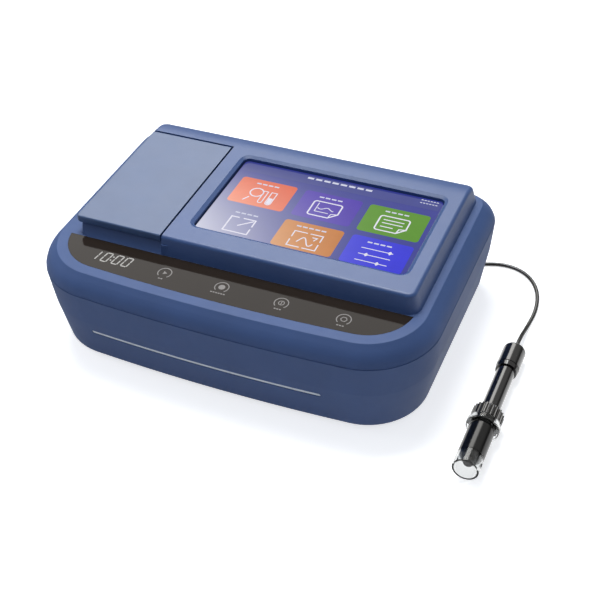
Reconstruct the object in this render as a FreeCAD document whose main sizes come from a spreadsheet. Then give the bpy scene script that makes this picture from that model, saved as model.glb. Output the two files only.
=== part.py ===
"""Bench water quality analyzer: two-part casing with a touch screen, a flip-up sample lid,
a touch key strip, a rear connector panel and a corded probe. Millimetres, +Z up."""
import FreeCAD, Part
import math
import os
import re
import Sketcher
from FreeCAD import Vector

os.makedirs("parts", exist_ok=True)
doc = FreeCAD.newDocument("water_analyzer")
sheet = doc.addObject("Spreadsheet::Sheet", "sizes")

SIZES = {
    # casing in plan, and its heights
    "half_width": 148.9,
    "front_reach": 102,
    "rear_reach": 102,
    "bow_radius": 1600,
    "front_corner": 52,
    "rear_corner": 23,
    "foot_height": 3.5,
    "skirt_low": 36,
    "skirt_high": 26,
    "skirt_low_inset": 5.8,
    "skirt_high_inset": 2.2,
    "shoulder_low": 7,
    "shoulder_high": 7,
    "shoulder_low_inset": 2.4,
    "shoulder_high_inset": 7.6,
    "deck_rise": 14,
    "rim_wall": 4.6,
    "tongue_wall": 1.6,
    "tongue_rise": 2.5,
    "floor_wall": 3,
    "skin": 3,
    "shell_gap": 0.15,
    "ridge_round": 20,
    "base_round": 4,
    "groove_size": 0.6,
    # raised deck
    "deck_left": -127,
    "deck_right": 129.4,
    "deck_front": -48,
    "deck_back": 87,
    "roll_start": 70.5,
    "roll_radius": 42,
    "rear_wall": 8,
    "deck_draft": 3.8,
    "deck_corner": 5.7,
    "deck_round": 3,
    "foot_round": 1,
    # sample lid and its hinge
    "lid_width": 68.6,
    "lid_length": 118.4,
    "lid_thick": 6,
    "lid_skin": 2,
    "lid_rim": 3.5,
    "lid_corner": 3,
    "lid_nose": 1.2,
    "lid_belly": 1.8,
    "lid_room_corner": 1.5,
    "lid_seam": 1.6,
    "seam_back": 0.5,
    "lid_lift": 0.4,
    "bead_radius": 2,
    "pin_radius": 0.8,
    "pin_play": 0.05,
    "knuckle_wide": 6,
    "knuckle_inset": 8,
    "knuckle_gap": 0.4,
    "knuckle_half": 1.3,
    "knuckle_nose": 0.5,
    "wall_setback": 2,
    "platform_inset": 1.2,
    "platform_draft": 1.5,
    # screen
    "screen_left": -45.6,
    "screen_right": 119,
    "screen_front": -31,
    "screen_back": 64.6,
    "screen_corner": 7.6,
    "screen_depth": 3.6,
    "screen_step": 2.2,
    "screen_slope": 2.6,
    "window_corner": 0.8,
    "glass_thick": 1.8,
    "glass_gap": 0.4,
    "gasket_thick": 0.5,
    "gasket_wall": 4,
    "module_thick": 4,
    "module_rim": 6,
    "bracket_thick": 1.2,
    "bracket_wide": 14,
    # key strip
    "strip_inset": 18,
    "strip_back": 51.9,
    "strip_thick": 1.5,
    "key_board_wide": 204,
    "key_board_deep": 19,
    "key_board_setback": 18,
    "key_board_front": "=front_reach - key_board_setback",
    "board_thick": 1.6,
    # light bar
    "bar_left": -96.5,
    "bar_right": 81.5,
    "bar_height": 30.5,
    "bar_slot": 3,
    "bar_tall": 2.6,
    "bar_depth": 12,
    "bar_back": "=front_reach - bar_depth",
    "bar_inset": 0.5,
    # sample compartment
    "well_x": -92,
    "well_y": 12,
    "well_plate_wide": 54,
    "well_plate_long": 92,
    "well_plate_thick": 1.5,
    "well_ledge": 3,
    "tube_offset": 22,
    "tube_radius": 8.25,
    "tube_wall": 3.75,
    "tube_depth": 73,
    "slot_offset": 18,
    "slot_long": 32.7,
    "slot_wide": 12.7,
    "slot_wall": 2.65,
    "slot_depth": 46,
    "holder_gap": 0.1,
    "bench_thick": 4,
    "bench_wide": 60,
    "bench_long": 100,
    "lamp_reach": 25,
    "optic_board_long": 66,
    "optic_board_tall": 62,
    "lens_radius": 4,
    # electronics
    "main_left": -38,
    "main_setback": 38,
    "main_front": "=main_setback - front_reach",
    "main_wide": 150,
    "main_deep": 112,
    "main_height": 40,
    "standoff_radius": 3.5,
    "standoff_inset": 5,
    "board_screw_radius": 1.4,
    "board_screw_head": 2.6,
    "io_left": 8,
    "io_wide": 66,
    "io_deep": 26,
    "io_height": 22,
    # rear panel and what it carries
    "panel_x": 30,
    "panel_z": 31,
    "panel_wide": 152,
    "panel_tall": 36,
    "panel_thick": 2,
    "panel_sink": 7.6,
    "panel_face": "=rear_reach - panel_sink",
    "panel_seat": 4,
    "panel_rim": 5,
    "panel_gap": 0.2,
    "panel_screw_radius": 1.4,
    "panel_screw_head": 2.2,
    "switch_x": -12,
    "jack_x": 24,
    "usb_x": 56,
    "socket_x": 92,
    "switch_wide": 15,
    "switch_tall": 21,
    "switch_lip": 1.6,
    "rocker_wide": 10.6,
    "rocker_half": 8.2,
    "rocker_tilt": 8,
    "rocker_play": 0.4,
    "trunnion_radius": 0.9,
    "jack_wide": 9,
    "jack_tall": 11,
    "jack_bore": 3.1,
    "usb_wide": 13.2,
    "usb_tall": 5.8,
    "socket_radius": 5.8,
    "socket_flange": 8.5,
    "socket_reach": 7,
    # feet and casing screws
    "foot_x": 105,
    "foot_front_setback": 44,
    "foot_front": "=front_reach - foot_front_setback",
    "foot_back_setback": 32,
    "foot_back": "=rear_reach - foot_back_setback",
    "foot_radius": 8,
    "foot_sink": 1,
    "boss_x": 131,
    "boss_front_setback": 44,
    "boss_front": "=front_reach - boss_front_setback",
    "boss_back_setback": 28,
    "boss_back": "=rear_reach - boss_back_setback",
    "boss_radius": 4.5,
    "screw_radius": 1.5,
    "screw_head": 3,
    "screw_sink": 5,
    # probe
    "probe_x": 186.4,
    "probe_end": 15.5,
    "cap_long": 25,
    "cap_radius": 8.3,
    "cap_bore": 10,
    "barrel_radius": 6.5,
    "barrel_long": 46,
    "nut_start": 70,
    "nut_long": 10,
    "nut_radius": 11,
    "rib_depth": 0.9,
    "flange_start": 80.3,
    "flange_long": 5,
    "flange_radius": 11.7,
    "head_radius": 7.2,
    "head_end": 115,
    "guard_start": 86,
    "guard_end": 124.5,
    "guard_radius": 9,
    "guard_wall": 1.3,
    "port_radius": 1.8,
    "ring_section": 0.7,
    "sensor_radius": 3.5,
    "sensor_end": 119.4,
    # cable
    "cable_radius": 1.5,
    "boot_long": 18,
    "boot_radius": 4.5,
    "plug_long": 22,
    "plug_radius": 7.5,
    "coil_x": 50,
    "coil_y": 145,
    "coil_outer": 22.5,
    "coil_tall": 9,
}

for line, (alias, size) in enumerate(SIZES.items(), 1):
    sheet.set(f"A{line}", alias)
    sheet.set(f"B{line}", str(size))
    sheet.setAlias(f"B{line}", alias)
doc.recompute()

# Heights and places that several pieces share, as rules in the sheet's names.
UNDERSIDE = "foot_height"
RIDGE_LOW = f"({UNDERSIDE} + skirt_low)"
PARTING = f"({RIDGE_LOW} + skirt_high)"
RIDGE = f"({PARTING} + shoulder_low)"
SHOULDER = f"({RIDGE} + shoulder_high)"
DECK = f"({SHOULDER} + deck_rise)"
FLOOR = f"({UNDERSIDE} + floor_wall)"
SHOULDER_INSET = "(shoulder_low_inset + shoulder_high_inset)"
LID_RIGHT = "(deck_left + lid_width)"
LID_BACK = "(deck_front + lid_length)"
LID_LOW = f"({DECK} - lid_thick)"
PLATFORM = f"({LID_LOW} - lid_lift)"
SEAM_RIGHT = f"({LID_RIGHT} + lid_seam)"
SEAM_BACK = f"({LID_BACK} + seam_back)"
HINGE_Y = f"({LID_BACK} - bead_radius)"
HINGE_Z = f"({DECK} - bead_radius)"
CEILING = f"({PLATFORM} - skin)"
GLASS_SEAT = f"({DECK} - screen_depth - glass_thick - gasket_thick)"
PANEL_BACK = "(panel_face - panel_thick)"
IO_FRONT = f"({PANEL_BACK} - panel_seat - 0.3 - io_deep)"
ORIGIN_X = "((probe_x + flange_radius - half_width) / 2)"
PROBE_CONTACT = "(flange_start + flange_long / 2)"
PROBE_TILT = f"asin((flange_radius - cap_radius) / ({PROBE_CONTACT} - 3))"
ORIGIN_Y = f"((rear_reach + probe_end - guard_end * cos({PROBE_TILT})" \
           f" - guard_radius * sin({PROBE_TILT})) / 2)"


def rule_text(rule):
    """The rule with every size name turned into a reference to the sheet."""
    return re.sub(r"[a-z][a-z_]*", lambda word: "sizes." + word[0] if word[0] in SIZES else word[0], str(rule))


def number(rule):
    """The rule's present value."""
    result = sheet.evalExpression(rule_text(rule))
    return float(getattr(result, "Value", result))


def bind(item, **rules):
    """Ties properties of an object to rules; a double underscore stands for the dot of a path."""
    for path, rule in rules.items():
        item.setExpression(path.replace("__", "."), rule_text(rule))
    return item


# Sketches

def new_body(label):
    body = doc.addObject("PartDesign::Body", label)
    body.Label = label
    return body


def new_sketch(body, plane="XY_Plane", offset="0"):
    sketch = body.newObject("Sketcher::SketchObject", "sketch")
    base = next(item for item in body.Origin.OriginFeatures if item.Role == plane)
    sketch.AttachmentSupport = [(base, "")]
    sketch.MapMode = "FlatFace"
    return bind(sketch, AttachmentOffset__Base__z=offset)


def limit(sketch, kind, where, rule):
    """A dimension of the sketch that follows a rule."""
    index = sketch.addConstraint(Sketcher.Constraint(kind, *where, number(rule)))
    sketch.setExpression(f"Constraints[{index}]", rule_text(rule))


def pin(sketch, edge, end, x, y):
    """Holds one end of an edge at a place given by two rules."""
    limit(sketch, "DistanceX", (-1, 1, edge, end), x)
    limit(sketch, "DistanceY", (-1, 1, edge, end), y)


def add_polygon(sketch, corners):
    """A closed run of straight edges through corners given by rules."""
    first = sketch.GeometryCount
    spots = [Vector(number(x), number(y), 0) for x, y in corners]
    count = len(spots)
    for index, spot in enumerate(spots):
        sketch.addGeometry(Part.LineSegment(spot, spots[(index + 1) % count]), False)
    for index in range(count):
        follower = first + (index + 1) % count
        sketch.addConstraint(Sketcher.Constraint("Coincident", first + index, 2, follower, 1))
    for index, (x, y) in enumerate(corners):
        pin(sketch, first + index, 1, x, y)
    return sketch


def add_circle(sketch, x, y, radius):
    circle = sketch.addGeometry(Part.Circle(Vector(number(x), number(y), 0), Vector(0, 0, 1), number(radius)))
    limit(sketch, "Radius", (circle,), radius)
    pin(sketch, circle, 3, x, y)
    return sketch


def add_loop(sketch, edges):
    """Adds edges that meet tangentially, each with the next, and returns the first one's number."""
    first = sketch.GeometryCount
    for edge in edges:
        sketch.addGeometry(edge, False)
    for index in range(len(edges)):
        follower = first + (index + 1) % len(edges)
        sketch.addConstraint(Sketcher.Constraint("Tangent", first + index, 2, follower, 1))
    return first


def arc(x, y, radius, start, finish):
    """A counter-clockwise arc between two angles in degrees."""
    circle = Part.Circle(Vector(x, y, 0), Vector(0, 0, 1), radius)
    return Part.ArcOfCircle(circle, math.radians(start), math.radians(finish))


def add_rounded_box(sketch, left, right, low, high, radius):
    """A rectangle with equal corner arcs."""
    x_low, x_high, y_low, y_high = number(left), number(right), number(low), number(high)
    bend = number(radius)
    edges = [
        Part.LineSegment(Vector(x_low + bend, y_low, 0), Vector(x_high - bend, y_low, 0)),
        arc(x_high - bend, y_low + bend, bend, 270, 360),
        Part.LineSegment(Vector(x_high, y_low + bend, 0), Vector(x_high, y_high - bend, 0)),
        arc(x_high - bend, y_high - bend, bend, 0, 90),
        Part.LineSegment(Vector(x_high - bend, y_high, 0), Vector(x_low + bend, y_high, 0)),
        arc(x_low + bend, y_high - bend, bend, 90, 180),
        Part.LineSegment(Vector(x_low, y_high - bend, 0), Vector(x_low, y_low + bend, 0)),
        arc(x_low + bend, y_low + bend, bend, 180, 270),
    ]
    first = add_loop(sketch, edges)
    for index in (0, 4):
        sketch.addConstraint(Sketcher.Constraint("Horizontal", first + index))
    for index in (2, 6):
        sketch.addConstraint(Sketcher.Constraint("Vertical", first + index))
    for index in (3, 5, 7):
        sketch.addConstraint(Sketcher.Constraint("Equal", first + 1, first + index))
    limit(sketch, "Radius", (first + 1,), radius)
    limit(sketch, "DistanceY", (-1, 1, first, 1), low)
    limit(sketch, "DistanceX", (-1, 1, first + 2, 1), right)
    limit(sketch, "DistanceY", (-1, 1, first + 4, 1), high)
    limit(sketch, "DistanceX", (-1, 1, first + 6, 1), left)
    return sketch


def add_outline(sketch, inset):
    """The casing's outline, drawn in by an inset: flat back, straight sides, big front corners
    and a slightly bowed front."""
    side, back, front = (number(f"{name} - ({inset})") for name in ("half_width", "rear_reach", "front_reach"))
    rear, corner, bow = (number(f"{name} - ({inset})") for name in ("rear_corner", "front_corner", "bow_radius"))
    bow_y = bow - front
    corner_x = side - corner
    corner_y = bow_y - math.sqrt((bow - corner) ** 2 - corner_x ** 2)
    swing = math.degrees(math.asin(corner_x / (bow - corner)))
    edges = [
        Part.LineSegment(Vector(side, corner_y, 0), Vector(side, back - rear, 0)),
        arc(side - rear, back - rear, rear, 0, 90),
        Part.LineSegment(Vector(side - rear, back, 0), Vector(rear - side, back, 0)),
        arc(rear - side, back - rear, rear, 90, 180),
        Part.LineSegment(Vector(-side, back - rear, 0), Vector(-side, corner_y, 0)),
        arc(-corner_x, corner_y, corner, 180, 270 - swing),
        arc(0, bow_y, bow, 270 - swing, 270 + swing),
        arc(corner_x, corner_y, corner, 270 + swing, 360),
    ]
    first = add_loop(sketch, edges)
    for index in (0, 4):
        sketch.addConstraint(Sketcher.Constraint("Vertical", first + index))
    sketch.addConstraint(Sketcher.Constraint("Horizontal", first + 2))
    sketch.addConstraint(Sketcher.Constraint("Equal", first + 1, first + 3))
    sketch.addConstraint(Sketcher.Constraint("Equal", first + 5, first + 7))
    sketch.addConstraint(Sketcher.Constraint("PointOnObject", first + 6, 3, -2))
    limit(sketch, "Radius", (first + 1,), f"rear_corner - ({inset})")
    limit(sketch, "Radius", (first + 7,), f"front_corner - ({inset})")
    limit(sketch, "Radius", (first + 6,), f"bow_radius - ({inset})")
    limit(sketch, "DistanceX", (-1, 1, first, 1), f"half_width - ({inset})")
    limit(sketch, "DistanceX", (-1, 1, first + 4, 1), f"({inset}) - half_width")
    limit(sketch, "DistanceY", (-1, 1, first + 2, 1), f"rear_reach - ({inset})")
    limit(sketch, "DistanceY", (-1, 1, first + 6, 3), "bow_radius - front_reach")
    return sketch


def add_front_strip(sketch, inset, chord):
    """The part of the casing's outline, drawn in by an inset, that lies in front of a chord."""
    corner, bow = (number(f"{name} - ({inset})") for name in ("front_corner", "bow_radius"))
    bow_y = number("bow_radius - front_reach")
    corner_x = number("half_width - front_corner")
    corner_y = bow_y - math.sqrt((bow - corner) ** 2 - corner_x ** 2)
    swing = math.degrees(math.asin(corner_x / (bow - corner)))
    rise = math.degrees(math.asin((number(chord) - corner_y) / corner))
    reach = corner_x + corner * math.cos(math.radians(rise))
    edges = [
        arc(-corner_x, corner_y, corner, 180 - rise, 270 - swing),
        arc(0, bow_y, bow, 270 - swing, 270 + swing),
        arc(corner_x, corner_y, corner, 270 + swing, 360 + rise),
        Part.LineSegment(Vector(reach, number(chord), 0), Vector(-reach, number(chord), 0)),
    ]
    for edge in edges:
        sketch.addGeometry(edge, False)
    for first, kind in ((0, "Tangent"), (1, "Tangent"), (2, "Coincident"), (3, "Coincident")):
        sketch.addConstraint(Sketcher.Constraint(kind, first, 2, (first + 1) % 4, 1))
    sketch.addConstraint(Sketcher.Constraint("Horizontal", 3))
    sketch.addConstraint(Sketcher.Constraint("Equal", 0, 2))
    sketch.addConstraint(Sketcher.Constraint("PointOnObject", 1, 3, -2))
    limit(sketch, "Radius", (2,), f"front_corner - ({inset})")
    limit(sketch, "Radius", (1,), f"bow_radius - ({inset})")
    limit(sketch, "DistanceY", (-1, 1, 1, 3), "bow_radius - front_reach")
    limit(sketch, "DistanceX", (-1, 1, 2, 3), "half_width - front_corner")
    limit(sketch, "DistanceX", (-1, 1, 0, 3), "front_corner - half_width")
    limit(sketch, "DistanceY", (-1, 1, 3, 1), chord)
    return sketch


# Features

def pad(sketch, length, spread=None, down=False):
    """Extrudes a sketch; spread is how far its sides lean in over the length."""
    body = sketch.getParentGeoFeatureGroup()
    item = body.newObject("PartDesign::Pad", "pad")
    item.Profile = sketch
    item.Reversed = down
    bind(item, Length=length)
    if spread:
        bind(item, TaperAngle=f"-atan(({spread}) / ({length}))")
    return item


def pocket(sketch, length, spread=None, up=False):
    """Cuts a sketch away from the solid, against the sketch's normal unless up is set."""
    body = sketch.getParentGeoFeatureGroup()
    item = body.newObject("PartDesign::Pocket", "pocket")
    item.Profile = sketch
    item.Reversed = up
    bind(item, Length=length)
    if spread:
        bind(item, TaperAngle=f"-atan(({spread}) / ({length}))")
    return item


def finish_edges(body, kind, size, pick):
    """A fillet or chamfer on the edges of the body's tip that pick accepts."""
    doc.recompute()
    base = body.Tip
    names = [f"Edge{index}" for index, edge in enumerate(base.Shape.Edges, 1) if pick(edge.BoundBox)]
    item = body.newObject(f"PartDesign::{kind}", kind.lower())
    item.Base = (base, names)
    bind(item, **{"Radius" if kind == "Fillet" else "Size": size})
    return item


def level(height):
    """Accepts flat edges that lie at a height."""
    target = number(height)
    return lambda box: abs(box.ZMin - target) < 1e-4 and abs(box.ZMax - target) < 1e-4


def outermost(height, inset):
    """Accepts the casing's own rim at a height: edges that keep to its outline at an inset."""
    at_height = level(height)
    side, front, back = (number(f"{name} - ({inset})") - 0.05 for name in ("half_width", "front_reach", "rear_reach"))
    bow_fall = number(f"front_reach - ({inset})") - 6

    def accept(box):
        wide = max(abs(box.XMin), abs(box.XMax)) > side
        deep = box.YMax > back or box.YMin < -front or (box.YMin < -bow_fall and box.XLength > 40)
        return at_height(box) and (wide or deep)
    return accept


# Solids from primitives

def box(left, front, low, wide, deep, tall, name="block"):
    return bind(doc.addObject("Part::Box", name), Length=wide, Width=deep, Height=tall,
                Placement__Base__x=left, Placement__Base__y=front, Placement__Base__z=low)


def rod(x, y, z, radius, length, along="Z", name="rod"):
    """A cylinder from its start point along +X, +Y or +Z."""
    item = bind(doc.addObject("Part::Cylinder", name), Radius=radius, Height=length)
    axis, angle = {"X": (Vector(0, 1, 0), 90), "Y": (Vector(1, 0, 0), -90), "Z": (Vector(0, 0, 1), 0)}[along]
    item.Placement = FreeCAD.Placement(Vector(0, 0, 0), FreeCAD.Rotation(axis, angle))
    return bind(item, Placement__Base__x=x, Placement__Base__y=y, Placement__Base__z=z)


def cone(x, y, z, radius_start, radius_finish, length, along="Z", name="cone"):
    item = bind(doc.addObject("Part::Cone", name), Radius1=radius_start, Radius2=radius_finish, Height=length)
    axis, angle = {"Y": (Vector(1, 0, 0), -90), "Z": (Vector(0, 0, 1), 0)}[along]
    item.Placement = FreeCAD.Placement(Vector(0, 0, 0), FreeCAD.Rotation(axis, angle))
    return bind(item, Placement__Base__x=x, Placement__Base__y=y, Placement__Base__z=z)


def joined(pieces, name="union"):
    if len(pieces) == 1:
        return pieces[0]
    item = doc.addObject("Part::MultiFuse", name)
    item.Shapes = pieces
    return item


def less(base, tools, name="cut"):
    item = doc.addObject("Part::Cut", name)
    item.Base = base
    item.Tool = joined(tools)
    return item


def group(pieces, name="set"):
    item = doc.addObject("Part::Compound", name)
    item.Links = pieces
    return item


def softened(base, size, pick, name="softened"):
    """Rounds the edges of a solid that pick accepts."""
    doc.recompute()
    item = doc.addObject("Part::Fillet", name)
    item.Base = base
    item.Edges = [(index, number(size), number(size))
                  for index, edge in enumerate(base.Shape.Edges, 1) if pick(edge.BoundBox)]
    return item


NODES = {}


def node(label, item):
    """Registers a finished sub-part under the name of its file."""
    item.Label = label
    NODES[label] = item
    return item


# Casing

def lower_form(body, inset):
    """The lower casing's outer form, drawn in by an inset."""
    pad(add_outline(new_sketch(body, offset=PARTING), inset), "skirt_high", "skirt_high_inset", down=True)
    ridge_inset = f"{inset} + skirt_high_inset"
    pad(add_outline(new_sketch(body, offset=RIDGE_LOW), ridge_inset), "skirt_low", "skirt_low_inset", down=True)


def boss_places(x, front, back):
    return [(f"{side}{x}", row) for side in ("-", "") for row in (f"-{front}", back)]


def make_lower_shell():
    body = new_body("lower_shell")
    lower_form(body, "0")
    finish_edges(body, "Fillet", "base_round", level(UNDERSIDE))
    cavity = "(rim_wall + tongue_wall)"
    depth = "(skirt_low + skirt_high - floor_wall)"
    pocket(add_outline(new_sketch(body, offset=PARTING), cavity), depth, "skirt_low_inset - tongue_wall")
    finish_edges(body, "Chamfer", "groove_size", outermost(PARTING, "0"))
    tongue = add_outline(new_sketch(body, offset=PARTING), "rim_wall + shell_gap")
    pad(add_outline(tongue, cavity), "tongue_rise")
    add_rear_seat(body)
    add_lower_bosses(body)
    cut_bar_slot(body)
    return body


def add_rear_seat(body):
    """Thickens the rear wall round the connector panel and cuts the panel's seat and window."""
    seat = new_sketch(body, "XZ_Plane", f"-({PANEL_BACK} - panel_seat)")
    corners = [("panel_x - panel_wide / 2 - panel_rim", "panel_z - panel_tall / 2 - panel_rim"),
               ("panel_x + panel_wide / 2 + panel_rim", "panel_z - panel_tall / 2 - panel_rim"),
               ("panel_x + panel_wide / 2 + panel_rim", "panel_z + panel_tall / 2 + panel_rim"),
               ("panel_x - panel_wide / 2 - panel_rim", "panel_z + panel_tall / 2 + panel_rim")]
    pad(add_polygon(seat, corners), "panel_seat + panel_thick - 0.4", down=True)
    recess = new_sketch(body, "XZ_Plane", f"-{PANEL_BACK}")
    add_rounded_box(recess, "panel_x - panel_wide / 2", "panel_x + panel_wide / 2",
                    "panel_z - panel_tall / 2", "panel_z + panel_tall / 2", "3")
    pocket(recess, "rear_reach - panel_face + panel_thick + 5")
    window = new_sketch(body, "XZ_Plane", f"-({PANEL_BACK} + 1)")
    add_rounded_box(window, "panel_x - panel_wide / 2 + panel_rim", "panel_x + panel_wide / 2 - panel_rim",
                    "panel_z - panel_tall / 2 + panel_rim", "panel_z + panel_tall / 2 - panel_rim", "2")
    pocket(window, "panel_seat + 4", up=True)
    holes = new_sketch(body, "XZ_Plane", f"-({PANEL_BACK} + 1)")
    for x, z in panel_screw_places():
        add_circle(holes, x, z, "panel_screw_radius")
    pocket(holes, "panel_seat + 4", up=True)


def panel_screw_places():
    return [(f"panel_x {side} (panel_wide / 2 - panel_rim / 2)", f"panel_z {row} (panel_tall / 2 - panel_rim / 2)")
            for side in "+-" for row in "+-"]


def add_lower_bosses(body):
    bosses = new_sketch(body, offset=f"{FLOOR} - 0.5")
    for x, y in boss_places("boss_x", "boss_front", "boss_back"):
        add_circle(bosses, x, y, "boss_radius")
    pad(bosses, f"{PARTING} - {FLOOR}")
    holes = new_sketch(body, offset=UNDERSIDE)
    for x, y in boss_places("boss_x", "boss_front", "boss_back"):
        add_circle(holes, x, y, "screw_radius + shell_gap")
    pocket(holes, "skirt_low + skirt_high", up=True)
    heads = new_sketch(body, offset=UNDERSIDE)
    for x, y in boss_places("boss_x", "boss_front", "boss_back"):
        add_circle(heads, x, y, "screw_head + shell_gap")
    pocket(heads, "screw_sink", up=True)
    feet = new_sketch(body, offset=UNDERSIDE)
    for x, y in boss_places("foot_x", "foot_front", "foot_back"):
        add_circle(feet, x, y, "foot_radius + shell_gap")
    pocket(feet, "foot_sink", up=True)


def cut_bar_slot(body):
    slot = new_sketch(body, "XZ_Plane", "front_reach + 5")
    add_rounded_box(slot, "bar_left", "bar_right", "bar_height - bar_slot / 2", "bar_height + bar_slot / 2",
                    "bar_slot / 2 - 0.05")
    pocket(slot, "front_reach + 5 - bar_back")


def make_light_bar():
    """The diffuser: a slim bar with round ends whose face follows the casing's bowed, leaning front."""
    form = new_body("bar_form")
    lower_form(form, "bar_inset")
    stick = new_body("bar_stick")
    sketch = new_sketch(stick, "XZ_Plane", "bar_back - 2")
    low = "bar_height + bar_slot / 2 - 0.2 - bar_tall"
    add_rounded_box(sketch, "bar_left + 0.3", "bar_right - 0.3", low, f"{low} + bar_tall", "bar_tall / 2 - 0.05")
    pad(sketch, "front_reach")
    inner = new_body("bar_limit")
    limit_sketch = new_sketch(inner, "XZ_Plane", "bar_back")
    corners = [("-half_width", "0"), ("half_width", "0"), ("half_width", PARTING), ("-half_width", PARTING)]
    pad(add_polygon(limit_sketch, corners), "front_reach")
    shape = doc.addObject("Part::MultiCommon", "bar_face")
    shape.Shapes = [form, stick, inner]
    return shape


def make_light_board():
    """The lamp strip behind the diffuser, on the casing's inner wall."""
    return box("bar_left + 6", "-bar_back + 0.2", "bar_height - 4", "bar_right - bar_left - 12", "1.6", "8")


def make_upper_shell():
    body = new_body("upper_shell")
    pad(add_outline(new_sketch(body, offset=PARTING), "0"), "shoulder_low", "shoulder_low_inset")
    pad(add_outline(new_sketch(body, offset=RIDGE), "shoulder_low_inset"), "shoulder_high", "shoulder_high_inset")
    finish_edges(body, "Fillet", "ridge_round", outermost(RIDGE, "shoulder_low_inset"))
    finish_edges(body, "Fillet", "foot_round", outermost(SHOULDER, SHOULDER_INSET))
    finish_edges(body, "Chamfer", "groove_size", level(PARTING))
    deck = add_rounded_box(new_sketch(body, offset=SHOULDER), "deck_left - deck_draft", "deck_right + deck_draft",
                           "deck_front - deck_draft", "deck_back + deck_draft", "deck_corner + deck_draft")
    pad(deck, "deck_rise", "deck_draft")
    roll_off_rear(body)
    finish_edges(body, "Fillet", "deck_round", deck_rim())
    cut_lid_room(body)
    cut_screen_seat(body)
    strip = add_front_strip(new_sketch(body, offset=SHOULDER), "strip_inset", "-strip_back")
    pocket(strip, "strip_thick + shell_gap")
    hollow_upper_shell(body)
    cut_well_opening(body)
    add_hinge_knuckles(body)
    add_upper_bosses(body)
    return body


def roll_off_rear(body):
    """Rolls the deck's top over towards the rear in a broad arc that starts level."""
    profile = new_sketch(body, "YZ_Plane", "deck_left - deck_draft - 5")
    start, top, radius, far = (number(rule) for rule in ("roll_start", DECK, "roll_radius", "deck_back + 5"))
    drop = radius - math.sqrt(radius ** 2 - (far - start) ** 2)
    sweep = math.degrees(math.asin((far - start) / radius))
    profile.addGeometry(arc(start, top - radius, radius, 90 - sweep, 90), False)
    profile.addGeometry(Part.LineSegment(Vector(start, top, 0), Vector(far, top, 0)), False)
    profile.addGeometry(Part.LineSegment(Vector(far, top, 0), Vector(far, top - drop, 0)), False)
    for first, end in ((0, 2), (1, 2), (2, 2)):
        profile.addConstraint(Sketcher.Constraint("Coincident", first, end, (first + 1) % 3, 1))
    profile.addConstraint(Sketcher.Constraint("Vertical", 0, 2, 0, 3))
    profile.addConstraint(Sketcher.Constraint("Vertical", 2))
    limit(profile, "Radius", (0,), "roll_radius")
    pin(profile, 0, 3, "roll_start", f"{DECK} - roll_radius")
    pin(profile, 2, 1, "deck_back + 5", DECK)
    pocket(profile, "deck_right - deck_left + 2 * deck_draft + 10", up=True)


def deck_rim():
    """Accepts the edges round the deck's top, also where it rolls off, but not the roll's own start."""
    top, start = number(DECK), number("roll_start")
    left, right, back = (number(name) for name in ("deck_left", "deck_right", "deck_back"))

    def accept(box):
        high = box.ZMin > top - 6
        across = abs(box.YMin - start) < 1e-3 and abs(box.YMax - start) < 1e-3
        sides = box.XMin < left + 8 or box.XMax > right - 8 or box.YMin > back - 3 or box.YMax < 0
        upright = box.ZLength > 5
        return high and sides and not across and not upright
    return accept


def cut_lid_room(body):
    """Takes the deck away under the lid and puts a lower platform with set-back walls there."""
    room = new_sketch(body, offset=f"{DECK} + 1")
    far = "deck_left - deck_draft - 1"
    near = "deck_front - deck_draft - 1"
    corners = [(far, near), (SEAM_RIGHT, near), (SEAM_RIGHT, SEAM_BACK), (far, SEAM_BACK)]
    pocket(add_polygon(room, corners), "deck_rise + 1")
    platform = new_sketch(body, offset=SHOULDER)
    add_rounded_box(platform, "deck_left + platform_inset", f"{SEAM_RIGHT} + 12",
                    "deck_front - deck_draft", f"{SEAM_BACK} + 8", "deck_corner + deck_draft")
    pad(platform, f"{PLATFORM} - {SHOULDER}", "platform_draft")
    slope = new_sketch(body, "YZ_Plane", "deck_left - deck_draft - 1")
    corners = [("deck_front - deck_draft - 3", SHOULDER), ("deck_front - deck_draft", SHOULDER),
               ("deck_front + wall_setback", f"{PLATFORM} + 0.01"),
               ("deck_front - deck_draft - 3", f"{PLATFORM} + 0.01")]
    pocket(add_polygon(slope, corners), f"{SEAM_RIGHT} - deck_left + deck_draft + 1", up=True)


def cut_screen_seat(body):
    """The sloped recess, the glass's seat below it and the window for the display."""
    recess = add_rounded_box(new_sketch(body, offset=DECK), "screen_left", "screen_right",
                             "screen_front", "screen_back", "screen_corner")
    pocket(recess, "screen_depth - screen_step", "screen_slope")
    depth = "screen_depth + glass_thick + gasket_thick"
    seat = screen_box(new_sketch(body, offset=DECK), "screen_slope")
    pocket(seat, depth)
    window = screen_box(new_sketch(body, offset=DECK), "screen_slope + gasket_wall", "window_corner")
    pocket(window, "deck_rise")


def screen_box(sketch, inset, corner="screen_corner - screen_slope"):
    return add_rounded_box(sketch, f"screen_left + {inset}", f"screen_right - ({inset})",
                           f"screen_front + {inset}", f"screen_back - ({inset})", corner)


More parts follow.
